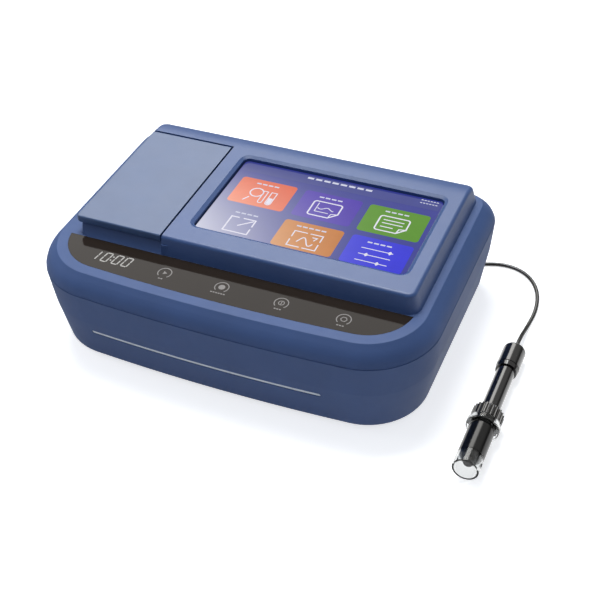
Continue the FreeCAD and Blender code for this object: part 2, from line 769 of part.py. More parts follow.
def hollow_upper_shell(body):
    """Opens the shell from below in three levels, and leaves a frame round the screen."""
    pocket(add_outline(new_sketch(body, offset=PARTING), "rim_wall"), "shoulder_low", up=True)
    ceiling = f"{SHOULDER} - skin - strip_thick"
    pocket(add_outline(new_sketch(body, offset=PARTING), f"{SHOULDER_INSET} + 0.6"), f"{ceiling} - {PARTING}", up=True)
    inner = new_sketch(body, offset=PARTING)
    add_rounded_box(inner, "deck_left + skin + wall_setback + platform_inset", "deck_right - skin",
                    "deck_front + skin + wall_setback", "deck_back - rear_wall", "deck_corner")
    pocket(inner, f"{CEILING} - {PARTING}", up=True)
    ring = new_sketch(body, offset=f"{CEILING} - 1")
    add_rounded_box(ring, f"{SEAM_RIGHT} + skin", "deck_right - skin", "deck_front + skin",
                    "deck_back - rear_wall", "deck_corner")
    add_rounded_box(ring, "screen_left + 1", "screen_right - 1", "screen_front + 1", "screen_back - 1", "3")
    pocket(ring, f"{DECK} - skin - {CEILING} + 1", up=True)


def well_box(sketch, inset):
    return add_rounded_box(sketch, f"well_x - well_plate_wide / 2 + {inset}",
                           f"well_x + well_plate_wide / 2 - ({inset})",
                           f"well_y - well_plate_long / 2 + {inset}",
                           f"well_y + well_plate_long / 2 - ({inset})", "3")


def cut_well_opening(body):
    pocket(well_box(new_sketch(body, offset=PLATFORM), "0"), "well_plate_thick")
    pocket(well_box(new_sketch(body, offset=PLATFORM), "well_ledge"), "skin + 6")


def knuckle_places():
    """The low X of each hinge knuckle."""
    return [f"(deck_left + {edge})" for edge in ("knuckle_inset", "lid_width - knuckle_inset - knuckle_wide")]


def add_hinge_knuckles(body):
    """Posts on the platform that carry the hinge pin, with blunt heads inside the lid's bead."""
    for place in knuckle_places():
        lug = new_sketch(body, "YZ_Plane", place)
        corners = [(f"{HINGE_Y} - knuckle_half", f"{PLATFORM} - 0.5"),
                   (f"{HINGE_Y} + knuckle_half", f"{PLATFORM} - 0.5"),
                   (f"{HINGE_Y} + knuckle_half", f"{HINGE_Z} + knuckle_nose"),
                   (f"{HINGE_Y} + knuckle_nose", f"{HINGE_Z} + knuckle_half"),
                   (f"{HINGE_Y} - knuckle_nose", f"{HINGE_Z} + knuckle_half"),
                   (f"{HINGE_Y} - knuckle_half", f"{HINGE_Z} + knuckle_nose")]
        pad(add_polygon(lug, corners), "knuckle_wide")
    hole = new_sketch(body, "YZ_Plane", "deck_left - 5")
    add_circle(hole, HINGE_Y, HINGE_Z, "pin_radius + pin_play")
    pocket(hole, "lid_width + 5 - knuckle_inset + 2", up=True)


def add_upper_bosses(body):
    bosses = new_sketch(body, offset=f"{SHOULDER} - skin - 1")
    for x, y in boss_places("boss_x", "boss_front", "boss_back"):
        add_circle(bosses, x, y, "boss_radius")
    pad(bosses, f"{SHOULDER} - skin - 1 - ({PARTING} - 0.5)", down=True)
    holes = new_sketch(body, offset=f"{PARTING} - 0.5")
    for x, y in boss_places("boss_x", "boss_front", "boss_back"):
        add_circle(holes, x, y, "screw_radius")
    pocket(holes, "7", up=True)


def make_case_screws():
    screws = []
    for x, y in boss_places("boss_x", "boss_front", "boss_back"):
        head = rod(x, y, f"{UNDERSIDE} + screw_sink - 2.6", "screw_head", "2.6")
        shank = rod(x, y, f"{UNDERSIDE} + screw_sink - 0.1", "screw_radius - 0.05",
                    f"{PARTING} + 5 - {UNDERSIDE} - screw_sink")
        drive = rod(x, y, f"{UNDERSIDE} + screw_sink - 2.7", "1.3", "1.4")
        screws.append(less(joined([head, shank]), [drive]))
    return group(screws)


def make_feet():
    feet = []
    for x, y in boss_places("foot_x", "foot_front", "foot_back"):
        foot = cone(x, y, "0", "foot_radius - 1", "foot_radius", f"{UNDERSIDE} + foot_sink")
        feet.append(foot)
    return group(feet)


# Lid

def make_lid():
    """The lid: a slab with a rounded nose, hollow below, with a bead at its rear for the pin."""
    body = new_body("sample_lid")
    plate = new_sketch(body, offset=LID_LOW)
    left, right, front, back = (number(rule) for rule in ("deck_left", LID_RIGHT, "deck_front", LID_BACK))
    bend = number("lid_corner")
    edges = [
        Part.LineSegment(Vector(left + bend, front, 0), Vector(right, front, 0)),
        Part.LineSegment(Vector(right, front, 0), Vector(right, back, 0)),
        Part.LineSegment(Vector(right, back, 0), Vector(left, back, 0)),
        Part.LineSegment(Vector(left, back, 0), Vector(left, front + bend, 0)),
        arc(left + bend, front + bend, bend, 180, 270),
    ]
    for edge in edges:
        plate.addGeometry(edge, False)
    for index, kind in enumerate(("Coincident", "Coincident", "Coincident", "Tangent", "Tangent")):
        plate.addConstraint(Sketcher.Constraint(kind, index, 2, (index + 1) % 5, 1))
    for index, kind in ((0, "Horizontal"), (1, "Vertical"), (2, "Horizontal"), (3, "Vertical")):
        plate.addConstraint(Sketcher.Constraint(kind, index))
    limit(plate, "Radius", (4,), "lid_corner")
    pin(plate, 1, 1, LID_RIGHT, "deck_front")
    pin(plate, 3, 1, "deck_left", LID_BACK)
    pad(plate, "lid_thick")
    finish_edges(body, "Fillet", "lid_nose", lid_nose_edges())
    rear = number(LID_BACK)
    finish_edges(body, "Fillet", "bead_radius - 0.01",
                 lambda box: box.YMin > rear - 1e-4 and level(DECK)(box))
    outer = lid_nose_edges(LID_LOW)
    finish_edges(body, "Fillet", "lid_belly",
                 lambda box: outer(box) or (box.YMin > rear - 1e-4 and level(LID_LOW)(box)))
    hollow = new_sketch(body, offset=LID_LOW)
    add_rounded_box(hollow, "deck_left + lid_rim", f"{LID_RIGHT} - lid_rim",
                    "deck_front + lid_rim", f"{LID_BACK} - 2 * bead_radius - 2", "lid_room_corner")
    pocket(hollow, "lid_thick - lid_skin", up=True)
    for place in knuckle_places():
        notch = new_sketch(body, offset=f"{LID_LOW} - 1")
        corners = [(f"{place} - knuckle_gap", f"{HINGE_Y} - bead_radius"),
                   (f"{place} + knuckle_wide + knuckle_gap", f"{HINGE_Y} - bead_radius"),
                   (f"{place} + knuckle_wide + knuckle_gap", f"{LID_BACK} + 1"),
                   (f"{place} - knuckle_gap", f"{LID_BACK} + 1")]
        pocket(add_polygon(notch, corners), f"{HINGE_Z} + knuckle_half + 0.2 - ({LID_LOW} - 1)", up=True)
    hole = new_sketch(body, "YZ_Plane", "deck_left + 2")
    add_circle(hole, HINGE_Y, HINGE_Z, "pin_radius + pin_play")
    pocket(hole, "lid_width", up=True)
    return body


def lid_nose_edges(height=DECK):
    """Accepts the edges of the lid's front and left sides at a height."""
    left, right, front = number("deck_left"), number(LID_RIGHT), number("deck_front")
    bend = number("lid_corner")
    at_height = level(height)

    def accept(box):
        on_front = box.YMax < front + bend + 1e-4
        on_left = box.XMax < left + 1e-4
        return at_height(box) and (on_front or on_left)
    return accept


def make_hinge_pin():
    return rod("deck_left + knuckle_inset - 4", HINGE_Y, HINGE_Z, "pin_radius",
               "lid_width - 2 * knuckle_inset + 8", "X")


def make_lid_seal():
    """A foam ring in the lid that closes on the black plate round the wells."""
    wide, deep = "(well_plate_wide - 4)", "(well_plate_long - 4)"
    low = f"{PLATFORM} + 0.3"
    tall = f"{DECK} - lid_skin - ({low})"
    outer = box(f"well_x - {wide} / 2", f"well_y - {deep} / 2", low, wide, deep, tall)
    inner = box(f"well_x - {wide} / 2 + 3.5", f"well_y - {deep} / 2 + 3.5", f"{low} - 1",
                f"{wide} - 7", f"{deep} - 7", f"{tall} + 2")
    return less(outer, [inner])


# Screen and key strip

def screen_slab(label, low, thick, inset, corner="screen_corner - screen_slope - glass_gap", hole=None):
    body = new_body(label)
    sketch = new_sketch(body, offset=low)
    add_rounded_box(sketch, f"screen_left + {inset}", f"screen_right - ({inset})",
                    f"screen_front + {inset}", f"screen_back - ({inset})", corner)
    if hole:
        add_rounded_box(sketch, f"screen_left + {hole}", f"screen_right - ({hole})",
                        f"screen_front + {hole}", f"screen_back - ({hole})", "2")
    pad(sketch, thick)
    return body


def make_display_module():
    """The display: its panel stands up in the window, its metal frame lies under the shell's frame."""
    panel_inset = "(screen_slope + gasket_wall + 0.3)"
    rim_inset = "(screen_slope + gasket_wall - module_rim)"
    panel = box(f"screen_left + {panel_inset}", f"screen_front + {panel_inset}", f"{CEILING} - 1",
                f"screen_right - screen_left - 2 * {panel_inset}", f"screen_back - screen_front - 2 * {panel_inset}",
                f"{GLASS_SEAT} - {CEILING} + 1")
    frame = box(f"screen_left + {rim_inset}", f"screen_front + {rim_inset}", f"{CEILING} - module_thick",
                f"screen_right - screen_left - 2 * {rim_inset}", f"screen_back - screen_front - 2 * {rim_inset}",
                "module_thick")
    return joined([panel, frame])


def make_display_bracket():
    """Two straps under the display, turned up at their ends onto the casing's frame."""
    straps = []
    for place in ("screen_front + 12", "screen_back - 12 - bracket_wide"):
        low = f"{CEILING} - module_thick - bracket_thick"
        strap = box("screen_left - 4.5", place, low, "screen_right - screen_left + 9", "bracket_wide", "bracket_thick")
        ears = [box(left, place, low, "bracket_thick", "bracket_wide", "module_thick + bracket_thick")
                for left in ("screen_left - 4.5", "screen_right + 4.5 - bracket_thick")]
        straps.append(joined([strap] + ears))
    return group(straps)


def make_key_strip():
    body = new_body("key_strip")
    sketch = new_sketch(body, offset=f"{SHOULDER} - strip_thick")
    add_front_strip(sketch, "strip_inset + shell_gap", "-strip_back - shell_gap")
    pad(sketch, "strip_thick")
    return body


def make_key_board():
    """The board of touch pads under the strip, on the shell's inner face."""
    top = f"{SHOULDER} - skin - strip_thick"
    board = box("-key_board_wide / 2", "-key_board_front", f"{top} - board_thick", "key_board_wide",
                "key_board_deep", "board_thick")
    chips = [box(left, "-key_board_front + 5", f"{top} - board_thick - 1.2", "7", "7", "1.3")
             for left in ("-60", "-8", "44")]
    plug = box("70", "-key_board_front + 4", f"{top} - board_thick - 5", "14", "6", "5.1")
    return joined([board] + chips + [plug])


# Sample compartment

TUBE_Y = "(well_y + tube_offset)"
SLOT_Y = "(well_y - slot_offset)"
BENCH_TOP = f"({FLOOR} + bench_thick)"
HOLDER_LONG = "(slot_long + 2 * slot_wall)"
HOLDER_WIDE = "(slot_wide + 2 * slot_wall)"


def make_chamber_plate():
    body = new_body("chamber_plate")
    sketch = new_sketch(body, offset=f"{PLATFORM} - well_plate_thick")
    well_box(sketch, "shell_gap")
    add_circle(sketch, "well_x", TUBE_Y, "tube_radius + tube_wall + holder_gap")
    half_long, half_wide = f"({HOLDER_LONG} / 2 + holder_gap)", f"({HOLDER_WIDE} / 2 + holder_gap)"
    add_polygon(sketch, [(f"well_x - {half_long}", f"{SLOT_Y} - {half_wide}"),
                         (f"well_x + {half_long}", f"{SLOT_Y} - {half_wide}"),
                         (f"well_x + {half_long}", f"{SLOT_Y} + {half_wide}"),
                         (f"well_x - {half_long}", f"{SLOT_Y} + {half_wide}")])
    pad(sketch, "well_plate_thick")
    return body


def make_tube_holder():
    outer = rod("well_x", TUBE_Y, BENCH_TOP, "tube_radius + tube_wall", f"{PLATFORM} - {BENCH_TOP}")
    bore = rod("well_x", TUBE_Y, f"{PLATFORM} - tube_depth", "tube_radius", "tube_depth + 1")
    return less(outer, [bore])


def make_slot_holder():
    low = f"({PLATFORM} - slot_depth - floor_wall)"
    outer = box(f"well_x - {HOLDER_LONG} / 2", f"{SLOT_Y} - {HOLDER_WIDE} / 2", low,
                HOLDER_LONG, HOLDER_WIDE, f"{PLATFORM} - {low}")
    slot = box("well_x - slot_long / 2", f"{SLOT_Y} - slot_wide / 2", f"{PLATFORM} - slot_depth",
               "slot_long", "slot_wide", "slot_depth + 1")
    return less(outer, [slot])


def make_optical_bench():
    """The plate on the casing's floor, with the pedestal under the cuvette holder."""
    plate = box("well_x - bench_wide / 2", "well_y - bench_long / 2", FLOOR, "bench_wide", "bench_long", "bench_thick")
    pedestal = box(f"well_x - {HOLDER_LONG} / 2", f"{SLOT_Y} - {HOLDER_WIDE} / 2", f"{FLOOR} + 1", HOLDER_LONG,
                   HOLDER_WIDE, f"{PLATFORM} - slot_depth - floor_wall - {FLOOR} - 1")
    return joined([plate, pedestal])


def optic_board(left):
    """An upright board on the bench, beside both holders."""
    return box(left, "well_y - optic_board_long / 2", BENCH_TOP, "board_thick", "optic_board_long", "optic_board_tall")


def make_lamp_board():
    board = optic_board("well_x - lamp_reach - board_thick")
    lamps = [rod("well_x - lamp_reach - 0.1", y, z, "2.5", reach, "X") for y, z, reach in (
        (TUBE_Y, f"{BENCH_TOP} + 22", "8"), (SLOT_Y, f"{PLATFORM} - slot_depth + 12", "1.6"))]
    return joined([board] + lamps)


def make_detector_board():
    board = optic_board("well_x + lamp_reach")
    cells = [rod(f"well_x + lamp_reach - {reach} + 0.1", y, z, "3", reach, "X") for y, z, reach in (
        (TUBE_Y, f"{BENCH_TOP} + 22", "8"), (SLOT_Y, f"{PLATFORM} - slot_depth + 12", "1.6"))]
    return joined([board] + cells)


def make_lenses():
    """Short glass rods between the cuvette holder and the lamp and detector."""
    height = f"{PLATFORM} - slot_depth + 12"
    gap = f"(lamp_reach - {HOLDER_LONG} / 2 - 1.6)"
    return group([rod(f"well_x - {HOLDER_LONG} / 2 - {gap}", SLOT_Y, height, "lens_radius", gap, "X"),
                  rod(f"well_x + {HOLDER_LONG} / 2", SLOT_Y, height, "lens_radius", gap, "X")])


# Electronics

def board_corners(left, front, wide, deep):
    return [(x, y) for x in (f"{left} + standoff_inset", f"{left} + {wide} - standoff_inset")
            for y in (f"{front} + standoff_inset", f"{front} + {deep} - standoff_inset")]


def all_board_corners():
    main = [(x, y, "main_height") for x, y in board_corners("main_left", "main_front", "main_wide", "main_deep")]
    side = [(x, y, "io_height") for x, y in board_corners("io_left", IO_FRONT, "io_wide", "io_deep")]
    return main + side


def make_main_board():
    board = box("main_left", "main_front", "main_height", "main_wide", "main_deep", "board_thick")
    top = "main_height + board_thick - 0.1"
    chips = [box(f"main_left + {x}", f"main_front + {y}", top, wide, deep, tall) for x, y, wide, deep, tall in (
        ("60", "40", "24", "24", "2.5"), ("96", "46", "14", "10", "2"), ("30", "30", "16", "12", "2"),
        ("20", "70", "30", "8", "9"), ("100", "80", "34", "8", "9"), ("62", "84", "18", "14", "4"))]
    cans = [rod(f"main_left + {x}", f"main_front + {y}", top, "4", "12") for x, y in (("24", "52"), ("35", "52"))]
    holes = [rod(x, y, "main_height - 1", "board_screw_radius + 0.1", "board_thick + 2")
             for x, y in board_corners("main_left", "main_front", "main_wide", "main_deep")]
    return less(joined([board] + chips + cans), holes)


def make_io_board():
    """The board behind the rear panel that the power jack and the data port stand on."""
    board = box("io_left", IO_FRONT, "io_height", "io_wide", "io_deep", "board_thick")
    block = box("io_left + 20", f"{IO_FRONT} + 3", "io_height + board_thick - 0.1", "12", "9", "7")
    holes = [rod(x, y, "io_height - 1", "board_screw_radius + 0.1", "board_thick + 2")
             for x, y in board_corners("io_left", IO_FRONT, "io_wide", "io_deep")]
    return less(joined([board, block]), holes)


def make_standoffs():
    return group([less(rod(x, y, FLOOR, "standoff_radius", f"{top} - {FLOOR}"),
                       [rod(x, y, f"{top} - 8", "board_screw_radius", "9")])
                  for x, y, top in all_board_corners()])


def make_board_screws():
    screws = []
    for x, y, top in all_board_corners():
        shank = rod(x, y, f"{top} - 5", "board_screw_radius - 0.05", "5.2 + board_thick")
        head = rod(x, y, f"{top} + board_thick", "board_screw_head", "1.8")
        screws.append(joined([shank, head]))
    return group(screws)


# Rear panel

def make_rear_panel():
    body = new_body("rear_panel")
    sketch = new_sketch(body, "XZ_Plane", f"-{PANEL_BACK}")
    half_wide, half_tall = "(panel_wide / 2 - panel_gap)", "(panel_tall / 2 - panel_gap)"
    add_rounded_box(sketch, f"panel_x - {half_wide}", f"panel_x + {half_wide}",
                    f"panel_z - {half_tall}", f"panel_z + {half_tall}", "2.8")
    add_circle(sketch, "socket_x", "panel_z", "socket_radius + panel_gap")
    add_circle(sketch, "jack_x", "panel_z", "jack_bore + 1")
    for place, wide, tall in (("usb_x", "usb_wide", "usb_tall"), ("switch_x", "switch_wide - 2", "switch_tall - 2")):
        half_x, half_z = f"(({wide}) / 2 + panel_gap)", f"(({tall}) / 2 + panel_gap)"
        add_polygon(sketch, [(f"{place} - {half_x}", f"panel_z - {half_z}"),
                             (f"{place} + {half_x}", f"panel_z - {half_z}"),
                             (f"{place} + {half_x}", f"panel_z + {half_z}"),
                             (f"{place} - {half_x}", f"panel_z + {half_z}")])
    for x, z in panel_screw_places():
        add_circle(sketch, x, z, "panel_screw_radius + 0.1")
    pad(sketch, "panel_thick", down=True)
    return body


def make_panel_screws():
    return group([joined([rod(x, f"{PANEL_BACK} - 3", z, "panel_screw_radius - 0.05", "panel_thick + 3.1", "Y"),
                          rod(x, "panel_face", z, "panel_screw_head", "1.5", "Y")])
                  for x, z in panel_screw_places()])


def make_switch_frame():
    """The power switch's frame: a lip outside the panel and a box through it."""
    lip = box("switch_x - switch_wide / 2", "panel_face", "panel_z - switch_tall / 2",
              "switch_wide", "switch_lip", "switch_tall")
    case = box("switch_x - switch_wide / 2 + 1", "panel_face - 12", "panel_z - switch_tall / 2 + 1",
               "switch_wide - 2", "12.1", "switch_tall - 2")
    room = box("switch_x - rocker_wide / 2 - rocker_play / 2", "panel_face - 7.5",
               "panel_z - rocker_half - rocker_play - 0.6", "rocker_wide + rocker_play", "12",
               "2 * rocker_half + 2 * rocker_play + 1.2")
    bearing = rod("switch_x - rocker_wide / 2 - 1", "panel_face - 0.5", "panel_z",
                  "trunnion_radius + pin_play", "rocker_wide + 2", "X")
    return less(joined([lip, case]), [room, bearing])


def make_rocker():
    """The rocker: two faces that meet in a shallow V, tilted to its off position, on trunnions."""
    body = new_body("power_rocker")
    profile = new_sketch(body, "YZ_Plane", "-rocker_wide / 2")
    corners = [("-4.5", "-2"), ("-1", "-rocker_half"), ("3.2", "-rocker_half"), ("1.9", "0"),
               ("3.2", "rocker_half"), ("-1", "rocker_half"), ("-4.5", "2")]
    pad(add_polygon(profile, corners), "rocker_wide")
    ends = new_sketch(body, "YZ_Plane", "-rocker_wide / 2 - 0.9")
    add_circle(ends, "0", "0", "trunnion_radius")
    pad(ends, "rocker_wide + 1.8")
    body.Placement = FreeCAD.Placement(Vector(0, 0, 0), FreeCAD.Rotation(Vector(1, 0, 0), 1))
    return bind(body, Placement__Rotation__Angle="rocker_tilt")


def make_power_jack():
    case = box("jack_x - jack_wide / 2", f"{PANEL_BACK} - 14", "io_height + board_thick", "jack_wide", "14",
               "panel_z - io_height - board_thick + jack_tall / 2")
    bore = rod("jack_x", f"{PANEL_BACK} - 10", "panel_z", "jack_bore", "11", "Y")
    contact = rod("jack_x", f"{PANEL_BACK} - 11", "panel_z", "1", "10", "Y")
    return joined([less(case, [bore]), contact])


def make_data_port():
    """The data port: a metal shell with a tongue, on a plastic block that stands on the board."""
    shell = box("usb_x - usb_wide / 2", "panel_face - 14", "panel_z - usb_tall / 2", "usb_wide", "14.4", "usb_tall")
    room = box("usb_x - usb_wide / 2 + 0.5", "panel_face - 11", "panel_z - usb_tall / 2 + 0.5",
               "usb_wide - 1", "13", "usb_tall - 1")
    tongue = box("usb_x - usb_wide / 2 + 1.6", "panel_face - 12", "panel_z + 0.1", "usb_wide - 3.2", "10.5", "1.7")
    foot = box("usb_x - usb_wide / 2 + 1", f"{PANEL_BACK} - 10", "io_height + board_thick", "usb_wide - 2", "9",
               "panel_z - usb_tall / 2 - io_height - board_thick + 0.2")
    return joined([less(shell, [room]), tongue, foot])


def make_probe_socket():
    barrel = rod("socket_x", f"{PANEL_BACK} - 10", "panel_z", "socket_radius", "10 + panel_thick + socket_reach", "Y")
    flange = rod("socket_x", "panel_face", "panel_z", "socket_flange", "1.5", "Y")
    nut = rod("socket_x", f"{PANEL_BACK} - 2.5", "panel_z", "socket_flange", "2.5", "Y")
    mouth = rod("socket_x", "panel_face + socket_reach - 4", "panel_z", "socket_radius - 1", "5", "Y")
    pins = [rod(f"socket_x {dx}", "panel_face + socket_reach - 4.5", f"panel_z {dz}", "0.6", "3.5", "Y")
            for dx, dz in (("+ 2.2", "+ 2.2"), ("- 2.2", "+ 2.2"), ("+ 2.2", "- 2.2"), ("- 2.2", "- 2.2"))]
    return joined([less(joined([barrel, flange, nut]), [mouth])] + pins)


PLUG_FRONT = "(panel_face + 1.7)"
PLUG_END = f"({PLUG_FRONT} + plug_long)"
BOOT_END = f"({PLUG_END} + boot_long)"


def make_plug():
    """The probe's plug: a sleeve over the socket, with a grip of grooves."""
    sleeve = rod("socket_x", PLUG_FRONT, "panel_z", "plug_radius", "plug_long", "Y")
    room = rod("socket_x", f"{PLUG_FRONT} - 1", "panel_z", "socket_radius + 0.3", "socket_reach", "Y")
    grooves = [less(rod("socket_x", f"{PLUG_FRONT} + {place}", "panel_z", "plug_radius + 1", "0.8", "Y"),
                    [rod("socket_x", f"{PLUG_FRONT} + {place} - 1", "panel_z", "plug_radius - 0.5", "3", "Y")])
               for place in (10, 12, 14, 16)]
    return less(sleeve, [room] + grooves)


def make_boot():
    return cone("socket_x", PLUG_END, "panel_z", "boot_radius", "cable_radius + 0.7", "boot_long", "Y")


# Probe, built along its own +Z from the cable end to the tip

def make_cap():
    """The cap: a rounded end, a flared rim with a groove, and the bore that takes the barrel."""
    outer = rod("0", "0", "0", "cap_radius", "cap_long - 3")
    rim = cone("0", "0", "cap_long - 3", "cap_radius", "cap_radius - 0.6", "3")
    blunt = softened(joined([outer, rim]), "2.6", lambda box: abs(box.ZMax) < 1e-4 and box.XLength > 5)
    bore = rod("0", "0", "cap_bore", "barrel_radius + 0.05", "cap_long")
    groove = less(rod("0", "0", "cap_long - 4.2", "cap_radius + 1", "0.8"),
                  [rod("0", "0", "cap_long - 5", "cap_radius - 0.5", "3")])
    return less(blunt, [bore, groove])


def make_barrel():
    """The barrel runs from inside the cap, through the nut and the flange, to the head."""
    shaft = rod("0", "0", "cap_bore", "barrel_radius", "flange_start + flange_long - cap_bore")
    collar = rod("0", "0", "nut_start - 2", "barrel_radius + 1.4", "1.8")
    return joined([shaft, collar])


def make_nut():
    """The knurled nut: coarse ribs round its rim, made as a ring of notches."""
    body = new_body("nut_form")
    ring = new_sketch(body, offset="nut_start")
    add_circle(ring, "0", "0", "nut_radius")
    add_circle(ring, "0", "0", "barrel_radius + 0.1")
    pad(ring, "nut_long")
    notch = new_sketch(body, offset="nut_start")
    add_circle(notch, "nut_radius + 0.3", "0", "rib_depth + 0.3")
    cut = pocket(notch, "nut_long + 1", up=True)
    doc.recompute()
    wheel = body.newObject("PartDesign::PolarPattern", "knurl")
    wheel.Originals = [cut]
    axis = next(item for item in body.Origin.OriginFeatures if item.Role == "Z_Axis")
    wheel.Axis = (axis, [""])
    wheel.Angle = 360
    wheel.Occurrences = 24
    body.Tip = wheel
    return body


def make_flange():
    ring = rod("0", "0", "flange_start", "flange_radius", "flange_long")
    blunt = softened(ring, "1.2", lambda box: box.XLength > 5)
    return less(blunt, [rod("0", "0", "flange_start - 1", "barrel_radius + 0.05", "flange_long + 2")])


def make_head():
    """The sensor head: a black body with a rounded end, inside the clear guard."""
    start = "(flange_start + flange_long)"
    form = rod("0", "0", start, "head_radius", f"head_end - {start}")
    blunt = softened(form, "2.5", lambda box: box.ZMin > number("head_end") - 1e-3)
    return less(blunt, [seal_ring()])


def make_guard():
    outer = rod("0", "0", "guard_start", "guard_radius", "guard_end - guard_start")
    inner = rod("0", "0", "guard_start - 1", "guard_radius - guard_wall", "guard_end - guard_start + 2")
    ports = [rod("-guard_radius - 1", "0", "head_end + 3", "port_radius", "2 * guard_radius + 2", "X")]
    return less(outer, [inner] + ports)


def seal_ring():
    """The rubber ring in a groove of the head, which the guard slides over."""
    ring = bind(doc.addObject("Part::Torus", "ring"), Radius1="guard_radius - guard_wall - 0.05 - ring_section",
                Radius2="ring_section")
    return bind(ring, Placement__Base__z="guard_start + 5")


def make_sensor():
    stem = rod("0", "0", "head_end", "sensor_radius", "sensor_end - head_end")
    return softened(stem, "1.5", lambda box: box.ZMin > number("sensor_end") - 1e-3)


# Cable

def cable_points_lead():
    """From the boot behind the panel, down to the top of the coil."""
    start = Vector(number("socket_x"), number(BOOT_END), number("panel_z"))
    rest = [(92, 147, 31), (90, 159, 27), (82, 168, 20), (70, 170.5, 13), (57, 167, 8.5), (46, 164.6, 7.5)]
    return [start] + [Vector(*spot) for spot in rest]


def cable_points_tail():
    """From the coil's lowest turn, along the floor and round to the probe's cap."""
    floor = number("cable_radius")
    spots = [(54, 124), (70, 123.5), (88, 118), (108, 110.5), (130, 106.5), (152, 115), (171, 110),
             (184, 94), (189, 71), (187, 48)]
    tilt = number(PROBE_TILT)
    finish = Vector(number("probe_x"), number("probe_end"), number(PROBE_HEIGHT))
    near = finish + Vector(0, 15 * math.cos(math.radians(tilt)), -15 * math.sin(math.radians(tilt)))
    return [Vector(x, y, floor) for x, y in spots] + [near, finish]


def tube_along(points, radius):
    """A round tube along straight runs joined by tangent arcs, and the arcs' radii."""
    edges = []
    radii = []
    start = points[0]
    for before, corner, after in zip(points, points[1:], points[2:]):
        towards, away = (corner - before), (after - corner)
        half_turn = towards.getAngle(away) / 2
        setback = 0.45 * min(towards.Length, away.Length)
        bend = setback / math.tan(half_turn)
        entry = corner - towards.normalize() * setback
        leave = corner + away.normalize() * setback
        inward = (entry + leave) * 0.5 - corner
        reach = inward.Length
        centre_reach = math.hypot(bend, setback)
        middle = corner + inward * ((centre_reach - bend) / reach)
        edges.append(Part.LineSegment(start, entry).toShape())
        edges.append(Part.Arc(entry, middle, leave).toShape())
        radii.append(bend)
        start = leave
    edges.append(Part.LineSegment(start, points[-1]).toShape())
    path = Part.Wire(edges)
    along = (points[1] - points[0]).normalize()
    section = Part.Wire([Part.Circle(points[0], along, radius).toShape()])
    tube = path.makePipeShell([section], True, False)
    return tube, path.Length, radii


def make_cable(label, points):
    """A cable's solid; its bends and its volume are printed for the builder to compare."""
    radius = number("cable_radius")
    tube, length, radii = tube_along(points, radius)
    item = doc.addObject("Part::Feature", label)
    item.Shape = tube
    print(label, "length", round(length, 1), "bends", [round(bend, 1) for bend in radii],
          "volume", round(tube.Volume, 1), "expected", round(math.pi * radius ** 2 * length, 1))
    return item


def make_coil():
    """The cable's coil as one closed solid of its outer shape."""
    outer = rod("coil_x", "coil_y", "0", "coil_outer", "coil_tall")
    return softened(outer, "2", lambda box: box.XLength > 5 and abs(box.ZMax - box.ZMin) < 1e-4)


# The cap rests near its cable end and the flange beside the head rests too, so the axis climbs to the tip.
PROBE_HEIGHT = f"(cap_radius / cos({PROBE_TILT}) - 3 * sin({PROBE_TILT}))"

CASING = {
    "lower_shell": make_lower_shell,
    "upper_shell": make_upper_shell,
    "light_bar": make_light_bar,
    "light_bar_board": make_light_board,
    "case_screws": make_case_screws,
    "rubber_feet": make_feet,
    "sample_lid": make_lid,
    "lid_hinge_pin": make_hinge_pin,
    "lid_seal": make_lid_seal,
    "touch_glass": lambda: screen_slab("touch_glass", f"{GLASS_SEAT} + gasket_thick", "glass_thick",
                                       "(screen_slope + glass_gap)"),
    "glass_gasket": lambda: screen_slab("glass_gasket", GLASS_SEAT, "gasket_thick", "(screen_slope + glass_gap)",
                                        hole="(screen_slope + gasket_wall)"),
    "display_module": make_display_module,
    "display_bracket": make_display_bracket,
    "key_strip": make_key_strip,
    "key_board": make_key_board,
    "chamber_plate": make_chamber_plate,
    "tube_holder": make_tube_holder,
    "cuvette_holder": make_slot_holder,
    "optical_bench": make_optical_bench,
    "lamp_board": make_lamp_board,
    "detector_board": make_detector_board,
    "beam_lenses": make_lenses,
    "main_board": make_main_board,
    "io_board": make_io_board,
    "board_standoffs": make_standoffs,
    "board_screws": make_board_screws,
    "rear_panel": make_rear_panel,
    "panel_screws": make_panel_screws,
    "switch_frame": make_switch_frame,
    "power_rocker": make_rocker,
    "power_jack": make_power_jack,
    "data_port": make_data_port,
    "probe_socket": make_probe_socket,
    "probe_plug": make_plug,
    "plug_boot": make_boot,
    "cable_coil": make_coil,
    "cable_lead": lambda: make_cable("cable_lead", cable_points_lead()),
    "cable_tail": lambda: make_cable("cable_tail", cable_points_tail()),
}

PROBE = {
    "probe_cap": make_cap,
    "probe_barrel": make_barrel,
    "probe_nut": make_nut,
    "probe_flange": make_flange,
    "probe_head": make_head,
    "probe_guard": make_guard,
    "guard_seal": seal_ring,
    "probe_sensor": make_sensor,
}


def place(item, x, y, z):
    """Moves a finished sub-part into the row's frame, whose origin is below the middle of the whole."""
    spot = item.Placement.Base
    bind(item, Placement__Base__x=f"{x} + {spot.x} - {ORIGIN_X}", Placement__Base__y=f"{y} + {spot.y} - {ORIGIN_Y}",
         Placement__Base__z=f"{z} + {spot.z}")


